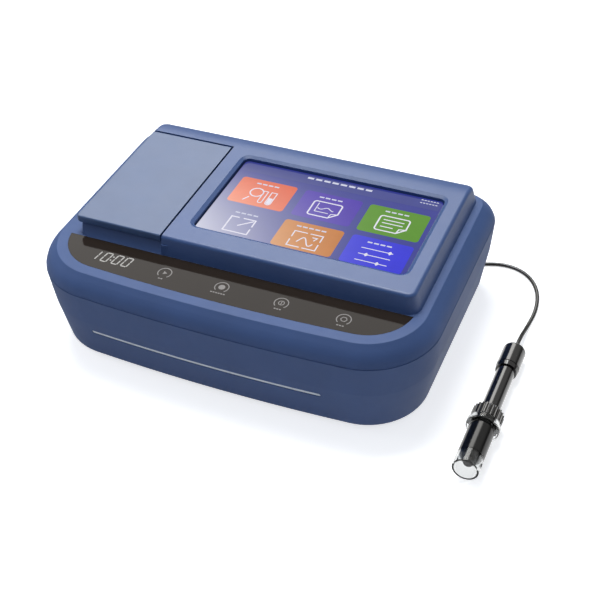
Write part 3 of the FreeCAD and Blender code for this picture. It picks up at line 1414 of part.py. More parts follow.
def main():
    for label, make in CASING.items():
        item = node(label, make())
        if item.TypeId in ("Part::Box", "Part::Cylinder", "Part::Cone"):
            item = node(label, group([item], label))
        if label == "power_rocker":
            place(item, "switch_x", "(panel_face - 0.5)", "panel_z")
        else:
            place(item, "0", "0", "0")
    for label, make in PROBE.items():
        item = node(label, group([make()], label))
        item.Placement = FreeCAD.Placement(Vector(0, 0, 0), FreeCAD.Rotation(Vector(1, 0, 0), 90))
        bind(item, Placement__Rotation__Angle=f"90 deg - {PROBE_TILT}")
        place(item, "probe_x", "probe_end", PROBE_HEIGHT)
    doc.recompute()
    broken = [item.Label for item in doc.Objects if {"Invalid", "Error"} & set(item.State)]
    broken += [label for label, item in NODES.items() if item.Shape.isNull() or not item.Shape.isValid()]
    if broken:
        raise SystemExit(f"failed: {sorted(set(broken))}")
    for label, item in NODES.items():
        item.Shape.exportStep(f"parts/{label}.step")
    print(len(NODES), "nodes,", sum(len(item.Shape.Solids) for item in NODES.values()), "solids")


main()
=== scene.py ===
import math

import bmesh
import bpy
from mathutils import Matrix, Vector


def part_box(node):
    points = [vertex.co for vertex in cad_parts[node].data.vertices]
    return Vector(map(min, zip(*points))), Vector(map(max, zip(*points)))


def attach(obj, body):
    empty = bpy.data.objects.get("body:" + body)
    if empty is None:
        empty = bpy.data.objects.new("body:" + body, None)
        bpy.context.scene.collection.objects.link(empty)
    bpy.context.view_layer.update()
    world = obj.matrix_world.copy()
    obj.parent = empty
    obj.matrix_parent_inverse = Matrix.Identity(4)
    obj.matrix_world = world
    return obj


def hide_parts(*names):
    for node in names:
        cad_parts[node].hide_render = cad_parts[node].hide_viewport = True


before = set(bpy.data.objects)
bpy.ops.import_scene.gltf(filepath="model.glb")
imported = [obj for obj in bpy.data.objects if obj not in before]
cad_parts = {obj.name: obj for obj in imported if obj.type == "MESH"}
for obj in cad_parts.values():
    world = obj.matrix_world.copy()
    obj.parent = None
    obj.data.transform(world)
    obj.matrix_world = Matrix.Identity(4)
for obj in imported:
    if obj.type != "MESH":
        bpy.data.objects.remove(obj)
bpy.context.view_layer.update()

MM = 0.001
# The casing's middle in the frame, in millimetres: places below are given from there.
SHIFT_X = -24.6
SHIFT_Y = 3.6352


def spot(x, y, z):
    """A point in metres in the frame, from millimetres about the casing's middle."""
    return Vector((x + SHIFT_X, y + SHIFT_Y, z)) * MM


# Camera

def add_camera():
    yaw, pitch, roll = 0.435867, 0.718856, -0.0523599
    forward = Vector((-math.sin(yaw) * math.cos(pitch), math.cos(yaw) * math.cos(pitch), -math.sin(pitch)))
    level = Vector((math.cos(yaw), math.sin(yaw), 0.0))
    above = level.cross(forward)
    right = math.cos(roll) * level + math.sin(roll) * above
    up = -math.sin(roll) * level + math.cos(roll) * above
    data = bpy.data.cameras.new("camera")
    data.sensor_width = 36.0
    data.lens = 68.05
    data.clip_end = 50.0
    camera = bpy.data.objects.new("camera", data)
    bpy.context.scene.collection.objects.link(camera)
    turn = Matrix((right, up, -forward)).transposed().to_4x4()
    camera.matrix_world = Matrix.Translation(spot(295.15, -579.60, 578.81)) @ turn
    bpy.context.scene.camera = camera


add_camera()
bpy.context.scene.view_settings.view_transform = "Standard"


# Materials

class Look:
    """Builds one node material step by step."""

    def __init__(self, name):
        self.material = bpy.data.materials.new(name)
        self.material.use_nodes = True
        self.tree = self.material.node_tree
        self.tree.nodes.clear()
        self.out = self.add("ShaderNodeOutputMaterial")
        self.shader = self.add("ShaderNodeBsdfPrincipled")
        self.link(self.shader.outputs[0], self.out.inputs["Surface"])
        self.place = self.add("ShaderNodeTexCoord").outputs["Object"]

    def add(self, kind, **settings):
        item = self.tree.nodes.new(kind)
        for key, value in settings.items():
            setattr(item, key, value)
        return item

    def link(self, start, end):
        self.tree.links.new(start, end)

    def set(self, **values):
        for key, value in values.items():
            self.shader.inputs[key.replace("_", " ")].default_value = value
        return self

    def noise(self, scale, detail=3.0, roughness=0.6):
        item = self.add("ShaderNodeTexNoise")
        item.inputs["Scale"].default_value = scale
        item.inputs["Detail"].default_value = detail
        item.inputs["Roughness"].default_value = roughness
        self.link(self.place, item.inputs["Vector"])
        return item.outputs["Fac"]

    def spread(self, source, low, high):
        """Maps a 0 to 1 value onto a range."""
        item = self.add("ShaderNodeMapRange")
        item.inputs["From Min"].default_value = 0.3
        item.inputs["From Max"].default_value = 0.7
        item.inputs["To Min"].default_value = low
        item.inputs["To Max"].default_value = high
        self.link(source, item.inputs["Value"])
        return item.outputs["Result"]

    def blend(self, source, first, second):
        """A colour between two, by a 0 to 1 value."""
        item = self.add("ShaderNodeMix", data_type="RGBA")
        item.inputs[6].default_value = first
        item.inputs[7].default_value = second
        self.link(source, item.inputs[0])
        return item.outputs[2]

    def duller_below(self, gloss, height, extra):
        """Adds to the roughness below a height in metres."""
        parts = self.add("ShaderNodeSeparateXYZ")
        self.link(self.place, parts.inputs[0])
        under = self.add("ShaderNodeMath", operation="LESS_THAN")
        under.inputs[1].default_value = height
        self.link(parts.outputs["Z"], under.inputs[0])
        total = self.add("ShaderNodeMath", operation="MULTIPLY_ADD")
        total.inputs[1].default_value = extra
        self.link(under.outputs[0], total.inputs[0])
        self.link(gloss, total.inputs[2])
        return total.outputs[0]

    def bump(self, source, strength, distance):
        item = self.add("ShaderNodeBump")
        item.inputs["Strength"].default_value = strength
        item.inputs["Distance"].default_value = distance
        self.link(source, item.inputs["Height"])
        self.link(item.outputs["Normal"], self.shader.inputs["Normal"])


def linear(red, green, blue):
    """An 8-bit screen colour as linear light."""
    def convert(level):
        value = level / 255
        return value / 12.92 if value <= 0.04045 else ((value + 0.055) / 1.055) ** 2.4
    return (convert(red), convert(green), convert(blue), 1.0)


def shade(colour, factor):
    return tuple(channel * factor for channel in colour[:3]) + (1.0,)


def plastic(name, colour, rough, grain=0.00004, grain_scale=2600.0, wear=0.06, coat=0.0, shine=0.5,
            dull=None):
    """Moulded or painted plastic: a fine grain, slight cloudiness and uneven gloss."""
    look = Look(name)
    cloud = look.noise(28.0, 4.0)
    look.link(look.blend(look.spread(cloud, 0.0, 1.0), shade(colour, 1 - wear), shade(colour, 1 + wear)),
              look.shader.inputs["Base Color"])
    gloss = look.spread(look.noise(90.0, 2.0), rough - 0.015, rough + 0.015)
    look.link(look.duller_below(gloss, *dull) if dull else gloss, look.shader.inputs["Roughness"])
    look.bump(look.noise(grain_scale, 2.0), 0.6, grain)
    look.set(Coat_Weight=coat, Coat_Roughness=0.12, Specular_IOR_Level=shine)
    return look.material


def metal(name, colour, rough, brush=(40.0, 1500.0, 1500.0)):
    look = Look(name)
    stretch = look.add("ShaderNodeMapping")
    stretch.inputs["Scale"].default_value = brush
    look.link(look.place, stretch.inputs["Vector"])
    streaks = look.add("ShaderNodeTexNoise")
    streaks.inputs["Scale"].default_value = 1.0
    streaks.inputs["Detail"].default_value = 3.0
    look.link(stretch.outputs["Vector"], streaks.inputs["Vector"])
    gloss = look.spread(streaks.outputs["Fac"], rough - 0.08, rough + 0.1)
    look.link(gloss, look.shader.inputs["Roughness"])
    look.link(look.blend(look.spread(streaks.outputs["Fac"], 0.0, 1.0), shade(colour, 0.86), colour),
              look.shader.inputs["Base Color"])
    look.bump(streaks.outputs["Fac"], 0.3, 0.00002)
    look.set(Metallic=1.0)
    return look.material


def circuit(name, colour, trace):
    """A board: solder mask over a web of traces."""
    look = Look(name)
    cells = look.add("ShaderNodeTexVoronoi", feature="DISTANCE_TO_EDGE", distance="CHEBYCHEV")
    cells.inputs["Scale"].default_value = 260.0
    look.link(look.place, cells.inputs["Vector"])
    line = look.add("ShaderNodeMapRange")
    line.inputs["From Min"].default_value = 0.02
    line.inputs["From Max"].default_value = 0.05
    look.link(cells.outputs["Distance"], line.inputs["Value"])
    look.link(look.blend(line.outputs["Result"], trace, colour), look.shader.inputs["Base Color"])
    look.link(look.spread(look.noise(120.0), 0.3, 0.45), look.shader.inputs["Roughness"])
    look.bump(line.outputs["Result"], 0.3, 0.00003)
    return look.material


PAINT = linear(50, 79, 130)
RIM_TOP = 0.0803
SHELL = plastic("casing_paint", PAINT, 0.44, shine=0.72, dull=(RIM_TOP, 0.2))
LID = plastic("lid_paint", linear(59, 84, 124), 0.38, shine=0.74)
BLACK = plastic("black_plastic", linear(26, 26, 28), 0.45)
METAL_BLACK = metal("black_anodised", linear(30, 30, 33), 0.4)
GLOSS_BLACK = plastic("probe_black", linear(10, 10, 11), 0.18, grain=0.000008, wear=0.15, coat=0.9)
RUBBER = plastic("rubber", linear(20, 20, 21), 0.62, grain=0.00006, grain_scale=1800.0)
FOAM = plastic("foam", linear(34, 34, 36), 0.85, grain=0.0002, grain_scale=900.0)
CABLE = plastic("cable_jacket", linear(11, 11, 12), 0.24, grain=0.00001, shine=0.7)
STEEL = metal("brushed_steel", linear(176, 178, 182), 0.3)
BOARD = circuit("green_board", linear(16, 74, 44), linear(48, 122, 72))
DIFFUSER = plastic("bar_diffuser", linear(214, 220, 226), 0.32, wear=0.03)
DARK_GLASS = plastic("strip_glass", linear(43, 36, 31), 0.06, grain=0.000004, wear=0.04, shine=0.1)
SCREEN_EDGE = plastic("screen_edge", linear(24, 32, 56), 0.12, grain=0.000004, wear=0.04)
LENS = plastic("lens_glass", linear(220, 228, 236), 0.06, grain=0.000004, wear=0.02, coat=0.4)
SENSOR = plastic("sensor_dark", linear(60, 58, 58), 0.2, grain=0.00001, coat=0.5)


def clear_plastic(name, black_from=None):
    """Clear moulded plastic with faint flow lines, black behind a place along Y in metres."""
    look = Look(name)
    if black_from is not None:
        parts = look.add("ShaderNodeSeparateXYZ")
        look.link(look.place, parts.inputs[0])
        clear = look.add("ShaderNodeMapRange")
        clear.inputs["From Min"].default_value = black_from
        clear.inputs["From Max"].default_value = black_from - 0.0015
        look.link(parts.outputs["Y"], clear.inputs["Value"])
        black = look.add("ShaderNodeBsdfPrincipled")
        black.inputs["Base Color"].default_value = linear(10, 10, 11)
        look.link(look.spread(look.noise(90.0, 2.0), 0.14, 0.2), black.inputs["Roughness"])
        mixed = look.add("ShaderNodeMixShader")
        look.link(clear.outputs["Result"], mixed.inputs[0])
        look.link(black.outputs[0], mixed.inputs[1])
        look.link(look.shader.outputs[0], mixed.inputs[2])
        look.link(mixed.outputs[0], look.out.inputs["Surface"])
    look.set(Base_Color=(0.93, 0.95, 0.96, 1.0), Transmission_Weight=1.0, IOR=1.46)
    look.link(look.spread(look.noise(60.0), 0.02, 0.07), look.shader.inputs["Roughness"])
    look.bump(look.noise(160.0), 0.15, 0.00003)
    return look.material


CLEAR = clear_plastic("clear_flange")
CLEAR_TIP = 0.0131
GUARD = clear_plastic("clear_guard", black_from=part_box("probe_guard")[0].y + CLEAR_TIP)

NODE_LOOKS = {
    "lower_shell": SHELL, "upper_shell": SHELL, "sample_lid": LID, "light_bar": DIFFUSER,
    "light_bar_board": BOARD, "case_screws": STEEL, "rubber_feet": RUBBER, "lid_hinge_pin": STEEL,
    "lid_seal": FOAM, "glass_gasket": RUBBER, "display_module": STEEL, "display_bracket": STEEL,
    "key_strip": DARK_GLASS, "key_board": BOARD, "chamber_plate": BLACK, "tube_holder": METAL_BLACK,
    "cuvette_holder": METAL_BLACK, "optical_bench": METAL_BLACK, "lamp_board": BOARD,
    "detector_board": BOARD, "beam_lenses": LENS, "main_board": BOARD, "io_board": BOARD,
    "board_standoffs": STEEL, "board_screws": STEEL, "rear_panel": BLACK, "panel_screws": STEEL,
    "switch_frame": BLACK, "power_rocker": GLOSS_BLACK, "power_jack": BLACK, "data_port": STEEL,
    "probe_socket": STEEL, "probe_plug": BLACK, "plug_boot": RUBBER, "cable_lead": CABLE,
    "cable_coil": CABLE, "cable_tail": CABLE, "probe_cap": GLOSS_BLACK, "probe_barrel": GLOSS_BLACK,
    "probe_nut": GLOSS_BLACK, "probe_flange": CLEAR, "probe_head": GLOSS_BLACK,
    "probe_guard": GUARD, "guard_seal": RUBBER, "probe_sensor": SENSOR,
}


def painted_screen_sheen(look):
    """A painted reflection of the back light on the screen, strongest at its near left corner and none at the
    right: its share at each place.
    """
    parts = look.add("ShaderNodeSeparateXYZ")
    look.link(look.place, parts.inputs[0])
    low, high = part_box("touch_glass")
    levels = []
    for axis, near, far in (("X", high.x, low.x), ("Y", high.y, low.y)):
        level = look.add("ShaderNodeMapRange")
        level.inputs["From Min"].default_value = near
        level.inputs["From Max"].default_value = far
        look.link(parts.outputs[axis], level.inputs["Value"])
        levels.append(level.outputs["Result"])
    across = look.add("ShaderNodeMath", operation="POWER")
    across.inputs[1].default_value = 2.0
    look.link(levels[0], across.inputs[0])
    along = look.add("ShaderNodeMath", operation="MULTIPLY_ADD")
    along.inputs[1].default_value = 0.62
    along.inputs[2].default_value = 0.0
    look.link(levels[1], along.inputs[0])
    both = look.add("ShaderNodeMath", operation="MULTIPLY")
    look.link(across.outputs[0], both.inputs[0])
    look.link(along.outputs[0], both.inputs[1])
    return both.outputs[0]


def lit_picture(name, colour, strength=1.0, rough=0.1):
    """A lit part of the picture under the cover glass, with a painted reflection added to its glow."""
    look = Look(name)
    cloud = look.blend(look.spread(look.noise(90.0), 0.0, 1.0), shade(colour, 0.95), shade(colour, 1.05))
    # Painted reflection: a pale warm light added to the glow, most at the screen's near left corner.
    painted_sheen_mix = look.add("ShaderNodeMix", data_type="RGBA", blend_type="ADD", clamp_result=False)
    look.link(painted_screen_sheen(look), painted_sheen_mix.inputs[0])
    look.link(cloud, painted_sheen_mix.inputs[6])
    painted_sheen_mix.inputs[7].default_value = (1.0, 1.0, 0.82, 1.0)
    look.link(painted_sheen_mix.outputs[2], look.shader.inputs["Emission Color"])
    look.set(Base_Color=shade(colour, 0.04), Emission_Strength=strength, Roughness=rough,
             Specular_IOR_Level=0.06)
    look.bump(look.noise(500.0), 0.1, 0.000005)
    return look.material


def assign(item, material):
    item.data.materials.clear()
    item.data.materials.append(material)
    for face in item.data.polygons:
        face.material_index = 0


def dress_nodes():
    for label, material in NODE_LOOKS.items():
        assign(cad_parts[label], material)
    assign(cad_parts["touch_glass"], SCREEN_EDGE)


# Mesh pieces

def add_mesh(name, build, material, body):
    """Makes a mesh from a bmesh that build fills, dresses it and lets it ride on a body."""
    form = bmesh.new()
    build(form)
    bmesh.ops.recalc_face_normals(form, faces=form.faces)
    data = bpy.data.meshes.new(name)
    form.to_mesh(data)
    form.free()
    item = bpy.data.objects.new(name, data)
    bpy.context.scene.collection.objects.link(item)
    data.materials.append(material)
    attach(item, body)
    return item


def prism(form, outline, low, high):
    """A closed slab from a flat outline of points in millimetres about the casing's middle."""
    under = [form.verts.new(spot(x, y, low)) for x, y in outline]
    over = [form.verts.new(spot(x, y, high)) for x, y in outline]
    form.faces.new(list(reversed(under)))
    form.faces.new(over)
    count = len(outline)
    for index in range(count):
        follower = (index + 1) % count
        form.faces.new((under[index], under[follower], over[follower], over[index]))


def round_box(left, right, front, back, radius, steps=6):
    """The outline of a rectangle with round corners."""
    points = []
    corners = ((right - radius, back - radius, 0), (left + radius, back - radius, 90),
               (left + radius, front + radius, 180), (right - radius, front + radius, 270))
    for x, y, start in corners:
        for step in range(steps + 1):
            angle = math.radians(start + 90 * step / steps)
            points.append((x + radius * math.cos(angle), y + radius * math.sin(angle)))
    return points


def stroke(form, points, width, low, high, closed=False):
    """A line of even width along points, as a closed slab."""
    count = len(points)
    sides = []
    for index, point in enumerate(points):
        before = points[index - 1] if index or closed else None
        after = points[(index + 1) % count] if index < count - 1 or closed else None
        runs = [Vector((b[0] - a[0], b[1] - a[1])).normalized()
                for a, b in ((before, point), (point, after)) if a is not None and b is not None]
        along = sum(runs, Vector((0.0, 0.0))).normalized()
        across = Vector((-along.y, along.x))
        reach = width / 2 / max(0.5, across.dot(Vector((-runs[0].y, runs[0].x))))
        sides.append((Vector(point) + across * reach, Vector(point) - across * reach))
    rings = [[form.verts.new(spot(side.x, side.y, level)) for side in pair for level in (low, high)]
             for pair in sides]
    pairs = list(zip(rings, rings[1:] + rings[:1])) if closed else list(zip(rings, rings[1:]))
    for first, second in pairs:
        for a, b in ((0, 1), (1, 3), (3, 2), (2, 0)):
            form.faces.new((first[a], first[b], second[b], second[a]))
    if not closed:
        for ring in (rings[0], rings[-1]):
            form.faces.new((ring[0], ring[1], ring[3], ring[2]))


def circle(x, y, radius, start=0, finish=360, steps=36):
    return [(x + radius * math.cos(math.radians(start + (finish - start) * step / steps)),
             y + radius * math.sin(math.radians(start + (finish - start) * step / steps)))
            for step in range(steps + (finish - start < 360))]


def glow(name, colour, strength, rough=0.12):
    """A lit print below the glass, with the glass's own gloss."""
    look = Look(name)
    cloud = look.blend(look.spread(look.noise(90.0), 0.0, 1.0), shade(colour, 0.94), shade(colour, 1.05))
    look.link(cloud, look.shader.inputs["Emission Color"])
    look.set(Base_Color=shade(colour, 0.2), Emission_Strength=strength, Roughness=rough,
             Specular_IOR_Level=0.1)
    look.bump(look.noise(500.0), 0.1, 0.000005)
    return look.material


GLASS_TOP = 89.9
PRINT = 0.04
PRINT_SUNK = 0.02
WHITE_PRINT = glow("white_print", linear(226, 224, 236), 0.78)
CAPTION_PRINT = glow("caption_print", linear(206, 208, 226), 0.75)


def print_low(glass_top, layer=1):
    """The underside of a print, a little sunk in the glass; higher layers lie over lower ones."""
    return glass_top - PRINT_SUNK + (layer - 1) * PRINT


def on_glass(name, draw, material, layer=1):
    low = print_low(GLASS_TOP, layer)
    add_mesh(name, lambda form: draw(form, low, low + PRINT), material, "base")


# Where the picture's own pixels, seven to the millimetre, lie on the glass.
PIXELS_PER_MM = 7.0
PICTURE_LEFT = -50.0
PICTURE_BACK = 70.0


def picture(x, y):
    """A place on the glass in millimetres, from a place in the flattened view of the screen."""
    return PICTURE_LEFT + x / PIXELS_PER_MM, PICTURE_BACK - y / PIXELS_PER_MM


def picture_box(left, top, right, bottom, radius):
    x_low, y_high = picture(left, top)
    x_high, y_low = picture(right, bottom)
    return round_box(x_low, x_high, y_low, y_high, radius)


def add_picture():
    outline = picture_box(57, 60, 1158, 700, 3.6)
    on_glass("screen_picture", lambda form, low, high: prism(form, outline, low, high),
             lit_picture("screen_look", linear(46, 52, 138)))


def add_tiles():
    tiles = (("tile_sample", 105, 196, 415, 416, (204, 78, 46)),
             ("tile_curve", 462, 196, 775, 416, (62, 30, 160)),
             ("tile_list", 815, 198, 1134, 420, (80, 136, 24)),
             ("tile_wave", 460, 458, 776, 670, (180, 104, 28)),
             ("tile_settings", 820, 458, 1134, 674, (40, 42, 204)))
    for name, left, top, right, bottom, colour in tiles:
        outline = picture_box(left, top, right, bottom, 2.6)
        on_glass(name, lambda form, low, high, shape=outline: prism(form, shape, low, high),
                 lit_picture(name + "_look", linear(*colour)), layer=2)
    header = picture_box(66, 66, 1150, 146, 1.2)
    on_glass("header_bar", lambda form, low, high: prism(form, header, low, high),
             lit_picture("header_look", linear(54, 61, 134)), layer=2)


def lines(form, low, high, runs, width):
    for run in runs:
        stroke(form, [picture(x, y) for x, y in run], width, low, high)


def arc_points(x, y, radius, start, finish, steps=20):
    return [(x + radius * math.cos(math.radians(start + (finish - start) * step / steps)),
             y - radius * math.sin(math.radians(start + (finish - start) * step / steps)))
            for step in range(steps + 1)]


def sheet_outline(left, top, right, bottom, fold):
    """A page with round corners and a folded lower right corner, as one run of points."""
    bend = 14
    points = arc_points(left + bend, top + bend, bend, 180, 90, 6)
    points += arc_points(right - bend, top + bend, bend, 90, 0, 6)
    points += [(right, bottom - fold), (right - fold, bottom)]
    points += arc_points(left + bend, bottom - bend, bend, 270, 180, 6)
    return points + [points[0]]


def draw_sample_icon(form, low, high):
    """A magnifier beside two test tubes."""
    lines(form, low, high, [arc_points(228, 305, 35, 0, 359, 30), [(204, 350), (182, 386)]], 1.0)
    for left, right in ((262, 284), (304, 334)):
        middle, half = (left + right) / 2, (right - left) / 2
        run = [(left, 282)] + arc_points(middle, 372, half, 180, 360, 10) + [(right, 282)]
        lines(form, low, high, [run, [(left - 3, 282), (right + 3, 282)]], 0.75)
    fill = [(308, 330), (308, 372)] + arc_points(319, 372, 11, 180, 360, 8) + [(330, 330)]
    prism(form, [picture(x, y) for x, y in fill], low, high)


def draw_curve_icon(form, low, high):
    """A page with a chart of one curve."""
    lines(form, low, high, [sheet_outline(538, 266, 690, 384, 40)], 1.1)
    fold = [(690, 344), (656, 350), (650, 384)]
    axes = [(566, 278), (566, 350), (640, 350)]
    lines(form, low, high, [fold, axes], 0.7)
    wave = [(572 + step * 8, 318 + 9 * math.sin(step * 0.75)) for step in range(12)]
    lines(form, low, high, [wave], 0.7)


def draw_list_icon(form, low, high):
    """A page with lines of writing."""
    lines(form, low, high, [sheet_outline(896, 268, 1050, 386, 40)], 1.1)
    lines(form, low, high, [[(1050, 346), (1016, 352), (1010, 386)], [(918, 298), (1026, 298)],
                            [(918, 324), (1026, 324)], [(918, 354), (984, 354)]], 0.9)


def draw_export_icon(form, low, high):
    """An open frame with an arrow out of its corner."""
    lines(form, low, high, [[(236, 530), (194, 530), (194, 646), (326, 646), (326, 602)],
                            [(258, 530), (326, 530), (326, 584)], [(252, 594), (318, 538)]], 1.1)


def draw_wave_icon(form, low, high):
    """A frame of four corners round a wave."""
    for x, y, dx, dy in ((540, 532, 1, 1), (690, 532, -1, 1), (540, 648, 1, -1), (690, 648, -1, -1)):
        lines(form, low, high, [[(x, y + dy * 48), (x, y), (x + dx * 68, y)]], 0.9)
    wave = [(578 + step * 4, 598 - 28 * math.sin(step * 0.31 - 0.5)) for step in range(22)]
    lines(form, low, high, [wave, [(642, 556), (668, 556), (656, 580)]], 0.9)


def draw_sliders(form, low, high):
    for y, knob in ((542, 1038), (589, 932), (637, 1004)):
        lines(form, low, high, [[(892, y), (1054, y)]], 0.7)
        mark = [picture(knob + dx, y + dy) for dx, dy in ((-12, 0), (0, -14), (12, 0), (0, 14))]
        prism(form, mark, low, high)


def dash_row_tree():
    """A node tree that makes a row of equal bars, with its inputs' identifiers by name."""
    tree = bpy.data.node_groups.new("dash_row", "GeometryNodeTree")
    sockets = {}
    for name, kind in (("Count", "Int"), ("Pitch", "Float"), ("Length", "Float"), ("Height", "Float"),
                       ("Thickness", "Float"), ("Material", "Material")):
        made = tree.interface.new_socket(name, in_out="INPUT", socket_type="NodeSocket" + kind)
        sockets[name] = made.identifier
    tree.interface.new_socket("Geometry", in_out="OUTPUT", socket_type="NodeSocketGeometry")
    add, link = tree.nodes.new, tree.links.new
    given, result = add("NodeGroupInput"), add("NodeGroupOutput")
    step, size = add("ShaderNodeCombineXYZ"), add("ShaderNodeCombineXYZ")
    row, bar = add("GeometryNodeMeshLine"), add("GeometryNodeMeshCube")
    copies, real, dressed = (add("GeometryNodeInstanceOnPoints"), add("GeometryNodeRealizeInstances"),
                             add("GeometryNodeSetMaterial"))
    link(given.outputs["Pitch"], step.inputs["X"])
    for name, axis in (("Length", "X"), ("Height", "Y"), ("Thickness", "Z")):
        link(given.outputs[name], size.inputs[axis])
    link(given.outputs["Count"], row.inputs["Count"])
    link(step.outputs[0], row.inputs["Offset"])
    link(size.outputs[0], bar.inputs["Size"])
    link(row.outputs["Mesh"], copies.inputs["Points"])
    link(bar.outputs["Mesh"], copies.inputs["Instance"])
    link(copies.outputs[0], real.inputs[0])
    link(real.outputs[0], dressed.inputs["Geometry"])
    link(given.outputs["Material"], dressed.inputs["Material"])
    link(dressed.outputs[0], result.inputs[0])
    return tree, sockets


def caption_rows():
    """Each row's left end, middle, count, pitch, bar length and bar height, in the flattened view."""
    captions = ((196, 230, 4), (548, 231, 4), (904, 231, 4), (196, 493, 4), (532, 492, 5), (906, 494, 4))
    rows = [(left, y, count, 33, 25, 10) for left, y, count in captions]
    rows.append((426, 95, 8, 46, 34, 14))
    rows += [(1042, y, 6, 16, 11, 6) for y in (78, 102)]
    return rows


def add_captions():
    """Short plain bars where captions would be."""
    tree, sockets = dash_row_tree()
    pixel = MM / PIXELS_PER_MM
    for number, (left, y, count, pitch, length, height) in enumerate(caption_rows(), 1):
        holder = bpy.data.objects.new("row", bpy.data.meshes.new("row"))
        bpy.context.scene.collection.objects.link(holder)
        maker = holder.modifiers.new("dash_row", "NODES")
        maker.node_group = tree
        for name, value in (("Count", count), ("Pitch", pitch * pixel), ("Length", length * pixel),
                            ("Height", height * pixel), ("Thickness", PRINT * MM),
                            ("Material", CAPTION_PRINT)):
            maker[sockets[name]] = value
        bpy.context.view_layer.update()
        data = bpy.data.meshes.new_from_object(holder.evaluated_get(bpy.context.evaluated_depsgraph_get()))
        bpy.data.objects.remove(holder)
        middle = spot(*picture(left + length / 2, y), print_low(GLASS_TOP, 3) + PRINT / 2)
        data.transform(Matrix.Translation(middle))
        item = bpy.data.objects.new(f"caption_row_{number}", data)
        bpy.context.scene.collection.objects.link(item)
        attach(item, "base")


def add_screen():
    add_picture()
    add_tiles()
    for name, draw in (("icon_sample", draw_sample_icon), ("icon_curve", draw_curve_icon),
                       ("icon_list", draw_list_icon), ("icon_export", draw_export_icon),
                       ("icon_wave", draw_wave_icon), ("icon_sliders", draw_sliders)):
        on_glass(name, draw, WHITE_PRINT, layer=3)
    add_captions()


# Key strip

STRIP_TOP = 79.5
STRIP_PRINT = glow("strip_print", linear(172, 168, 166), 0.5)
DIGIT_LIGHT = glow("digit_light", linear(206, 204, 200), 0.6)
SEGMENTS = {"0": "abcdef", "1": "bc"}


def segment_places(left, front, wide, tall):
    """The two ends of each of a digit's outer bars."""
    middle, back, right = front + tall / 2, front + tall, left + wide
    return {"a": ((left, back), (right, back)), "b": ((right, back), (right, middle)),
            "c": ((right, middle), (right, front)), "d": ((left, front), (right, front)),
            "e": ((left, middle), (left, front)), "f": ((left, back), (left, middle))}


def draw_digits(form, low, high):
    """A clock reading in slanted seven-bar digits."""
    slant = 0.16
    front, tall, wide, gap = -72.6, 9.4, 4.6, 0.3

    def lean(point):
        return point[0] + (point[1] - front) * slant, point[1]

    for left, mark in ((-99.2 - wide, "1"), (-94.8, "0"), (-85.9, "0"), (-78.3, "0")):
        for name in SEGMENTS[mark]:
            start, end = (Vector(point) for point in segment_places(left, front, wide, tall)[name])
            along = (end - start).normalized() * gap
            stroke(form, [lean(start + along), lean(end - along)], 0.95, low, high)
    for y in (front + 2.9, front + 6.6):
        prism(form, circle(*lean((-88.1, y)), 0.65, steps=12), low, high)


KEY_PLACES = ((-44.8, -68.8), (-0.8, -68.8), (43.8, -69.5), (88.7, -70.0))


def draw_keys(form, low, high):
    """Four open ring marks with a small sign in each and a dashed line below."""
    for (x, y), dashes in zip(KEY_PLACES, (2, 6, 3, 3)):
        stroke(form, circle(x, y, 4.9, -50, 230, 30), 0.7, low, high)
        for index in range(dashes):
            left = x - dashes * 0.95 + index * 1.9
            prism(form, round_box(left, left + 1.4, y - 6.9, y - 5.9, 0.2, 2), low, high)
    (x_a, y_a), (x_b, y_b), (x_c, y_c), (x_d, y_d) = KEY_PLACES
    prism(form, circle(x_a, y_a, 1.9, steps=3), low, high)
    prism(form, circle(x_b, y_b, 2.4, steps=24), low, high)
    stroke(form, circle(x_c, y_c, 2.0, 0, 360, 20), 0.6, low, high, closed=True)
    stroke(form, [(x_c, y_c - 2.0), (x_c, y_c + 2.2)], 0.6, low, high)
    stroke(form, circle(x_d, y_d, 2.2, 0, 360, 6), 0.6, low, high, closed=True)


def add_strip_prints():
    low = print_low(STRIP_TOP)
    prints = (("clock_digits", draw_digits, DIGIT_LIGHT), ("key_marks", draw_keys, STRIP_PRINT))
    for name, draw, material in prints:
        add_mesh(name, lambda form, draw=draw: draw(form, low, low + PRINT), material, "base")


# Cable

COIL = (50.0, 145.0)


CABLE_ACROSS = 3.0


def coil_turns():
    """The cable's turns in the coil: three layers, wound out, in and out again, a diameter apart."""
    layers = ((7.5, 15.8, 1, 1.7), (4.5, 20.9, -1, 2.3), (1.5, 13.6, 1, 2.446))
    points_per_turn = 16
    top, bottom = layers[0][0], layers[-1][0]
    points = []
    angle = math.radians(101.5)
    for height, start, way, turns in layers:
        steps = int(turns * points_per_turn)
        for step in range(steps):
            part = step / steps
            radius = start + way * CABLE_ACROSS * turns * part
            arriving = 3.2 * max(0.0, 1 - part / 0.18) if height == top else 0.0
            leaving = CABLE_ACROSS * max(0.0, part - 0.9) / 0.1 if height > bottom else 0.0
            points.append((COIL[0] + radius * math.cos(angle), COIL[1] + radius * math.sin(angle),
                           height + arriving - leaving))
            angle += 2 * math.pi * turns / steps
    return points


CABLE_EXIT = (92, 136.1, 31)


def cable_points():
    """The lead from the plug, the coil, and the run along the floor to the probe's cap."""
    lead = [CABLE_EXIT, (92, 147, 31), (90, 159, 27), (82, 168, 21), (70, 170, 15), (58, 167, 11.3)]
    tail = [(70, 123.5, 1.5), (88, 118, 1.5), (108, 110.5, 1.5), (130, 106.5, 1.5), (152, 115, 1.5),
            (171, 110, 1.5), (184, 94, 1.5), (189, 71, 1.5), (187, 48, 1.5), (186.4, 30.5, 7.4),
            (186.4, 15.5, 8.15)]
    return lead + coil_turns() + tail


def curve_length(item):
    graph = bpy.context.evaluated_depsgraph_get()
    shape = bpy.data.meshes.new_from_object(item.evaluated_get(graph))
    total = sum((shape.vertices[edge.vertices[0]].co - shape.vertices[edge.vertices[1]].co).length
                for edge in shape.edges)
    bpy.data.meshes.remove(shape)
    return total


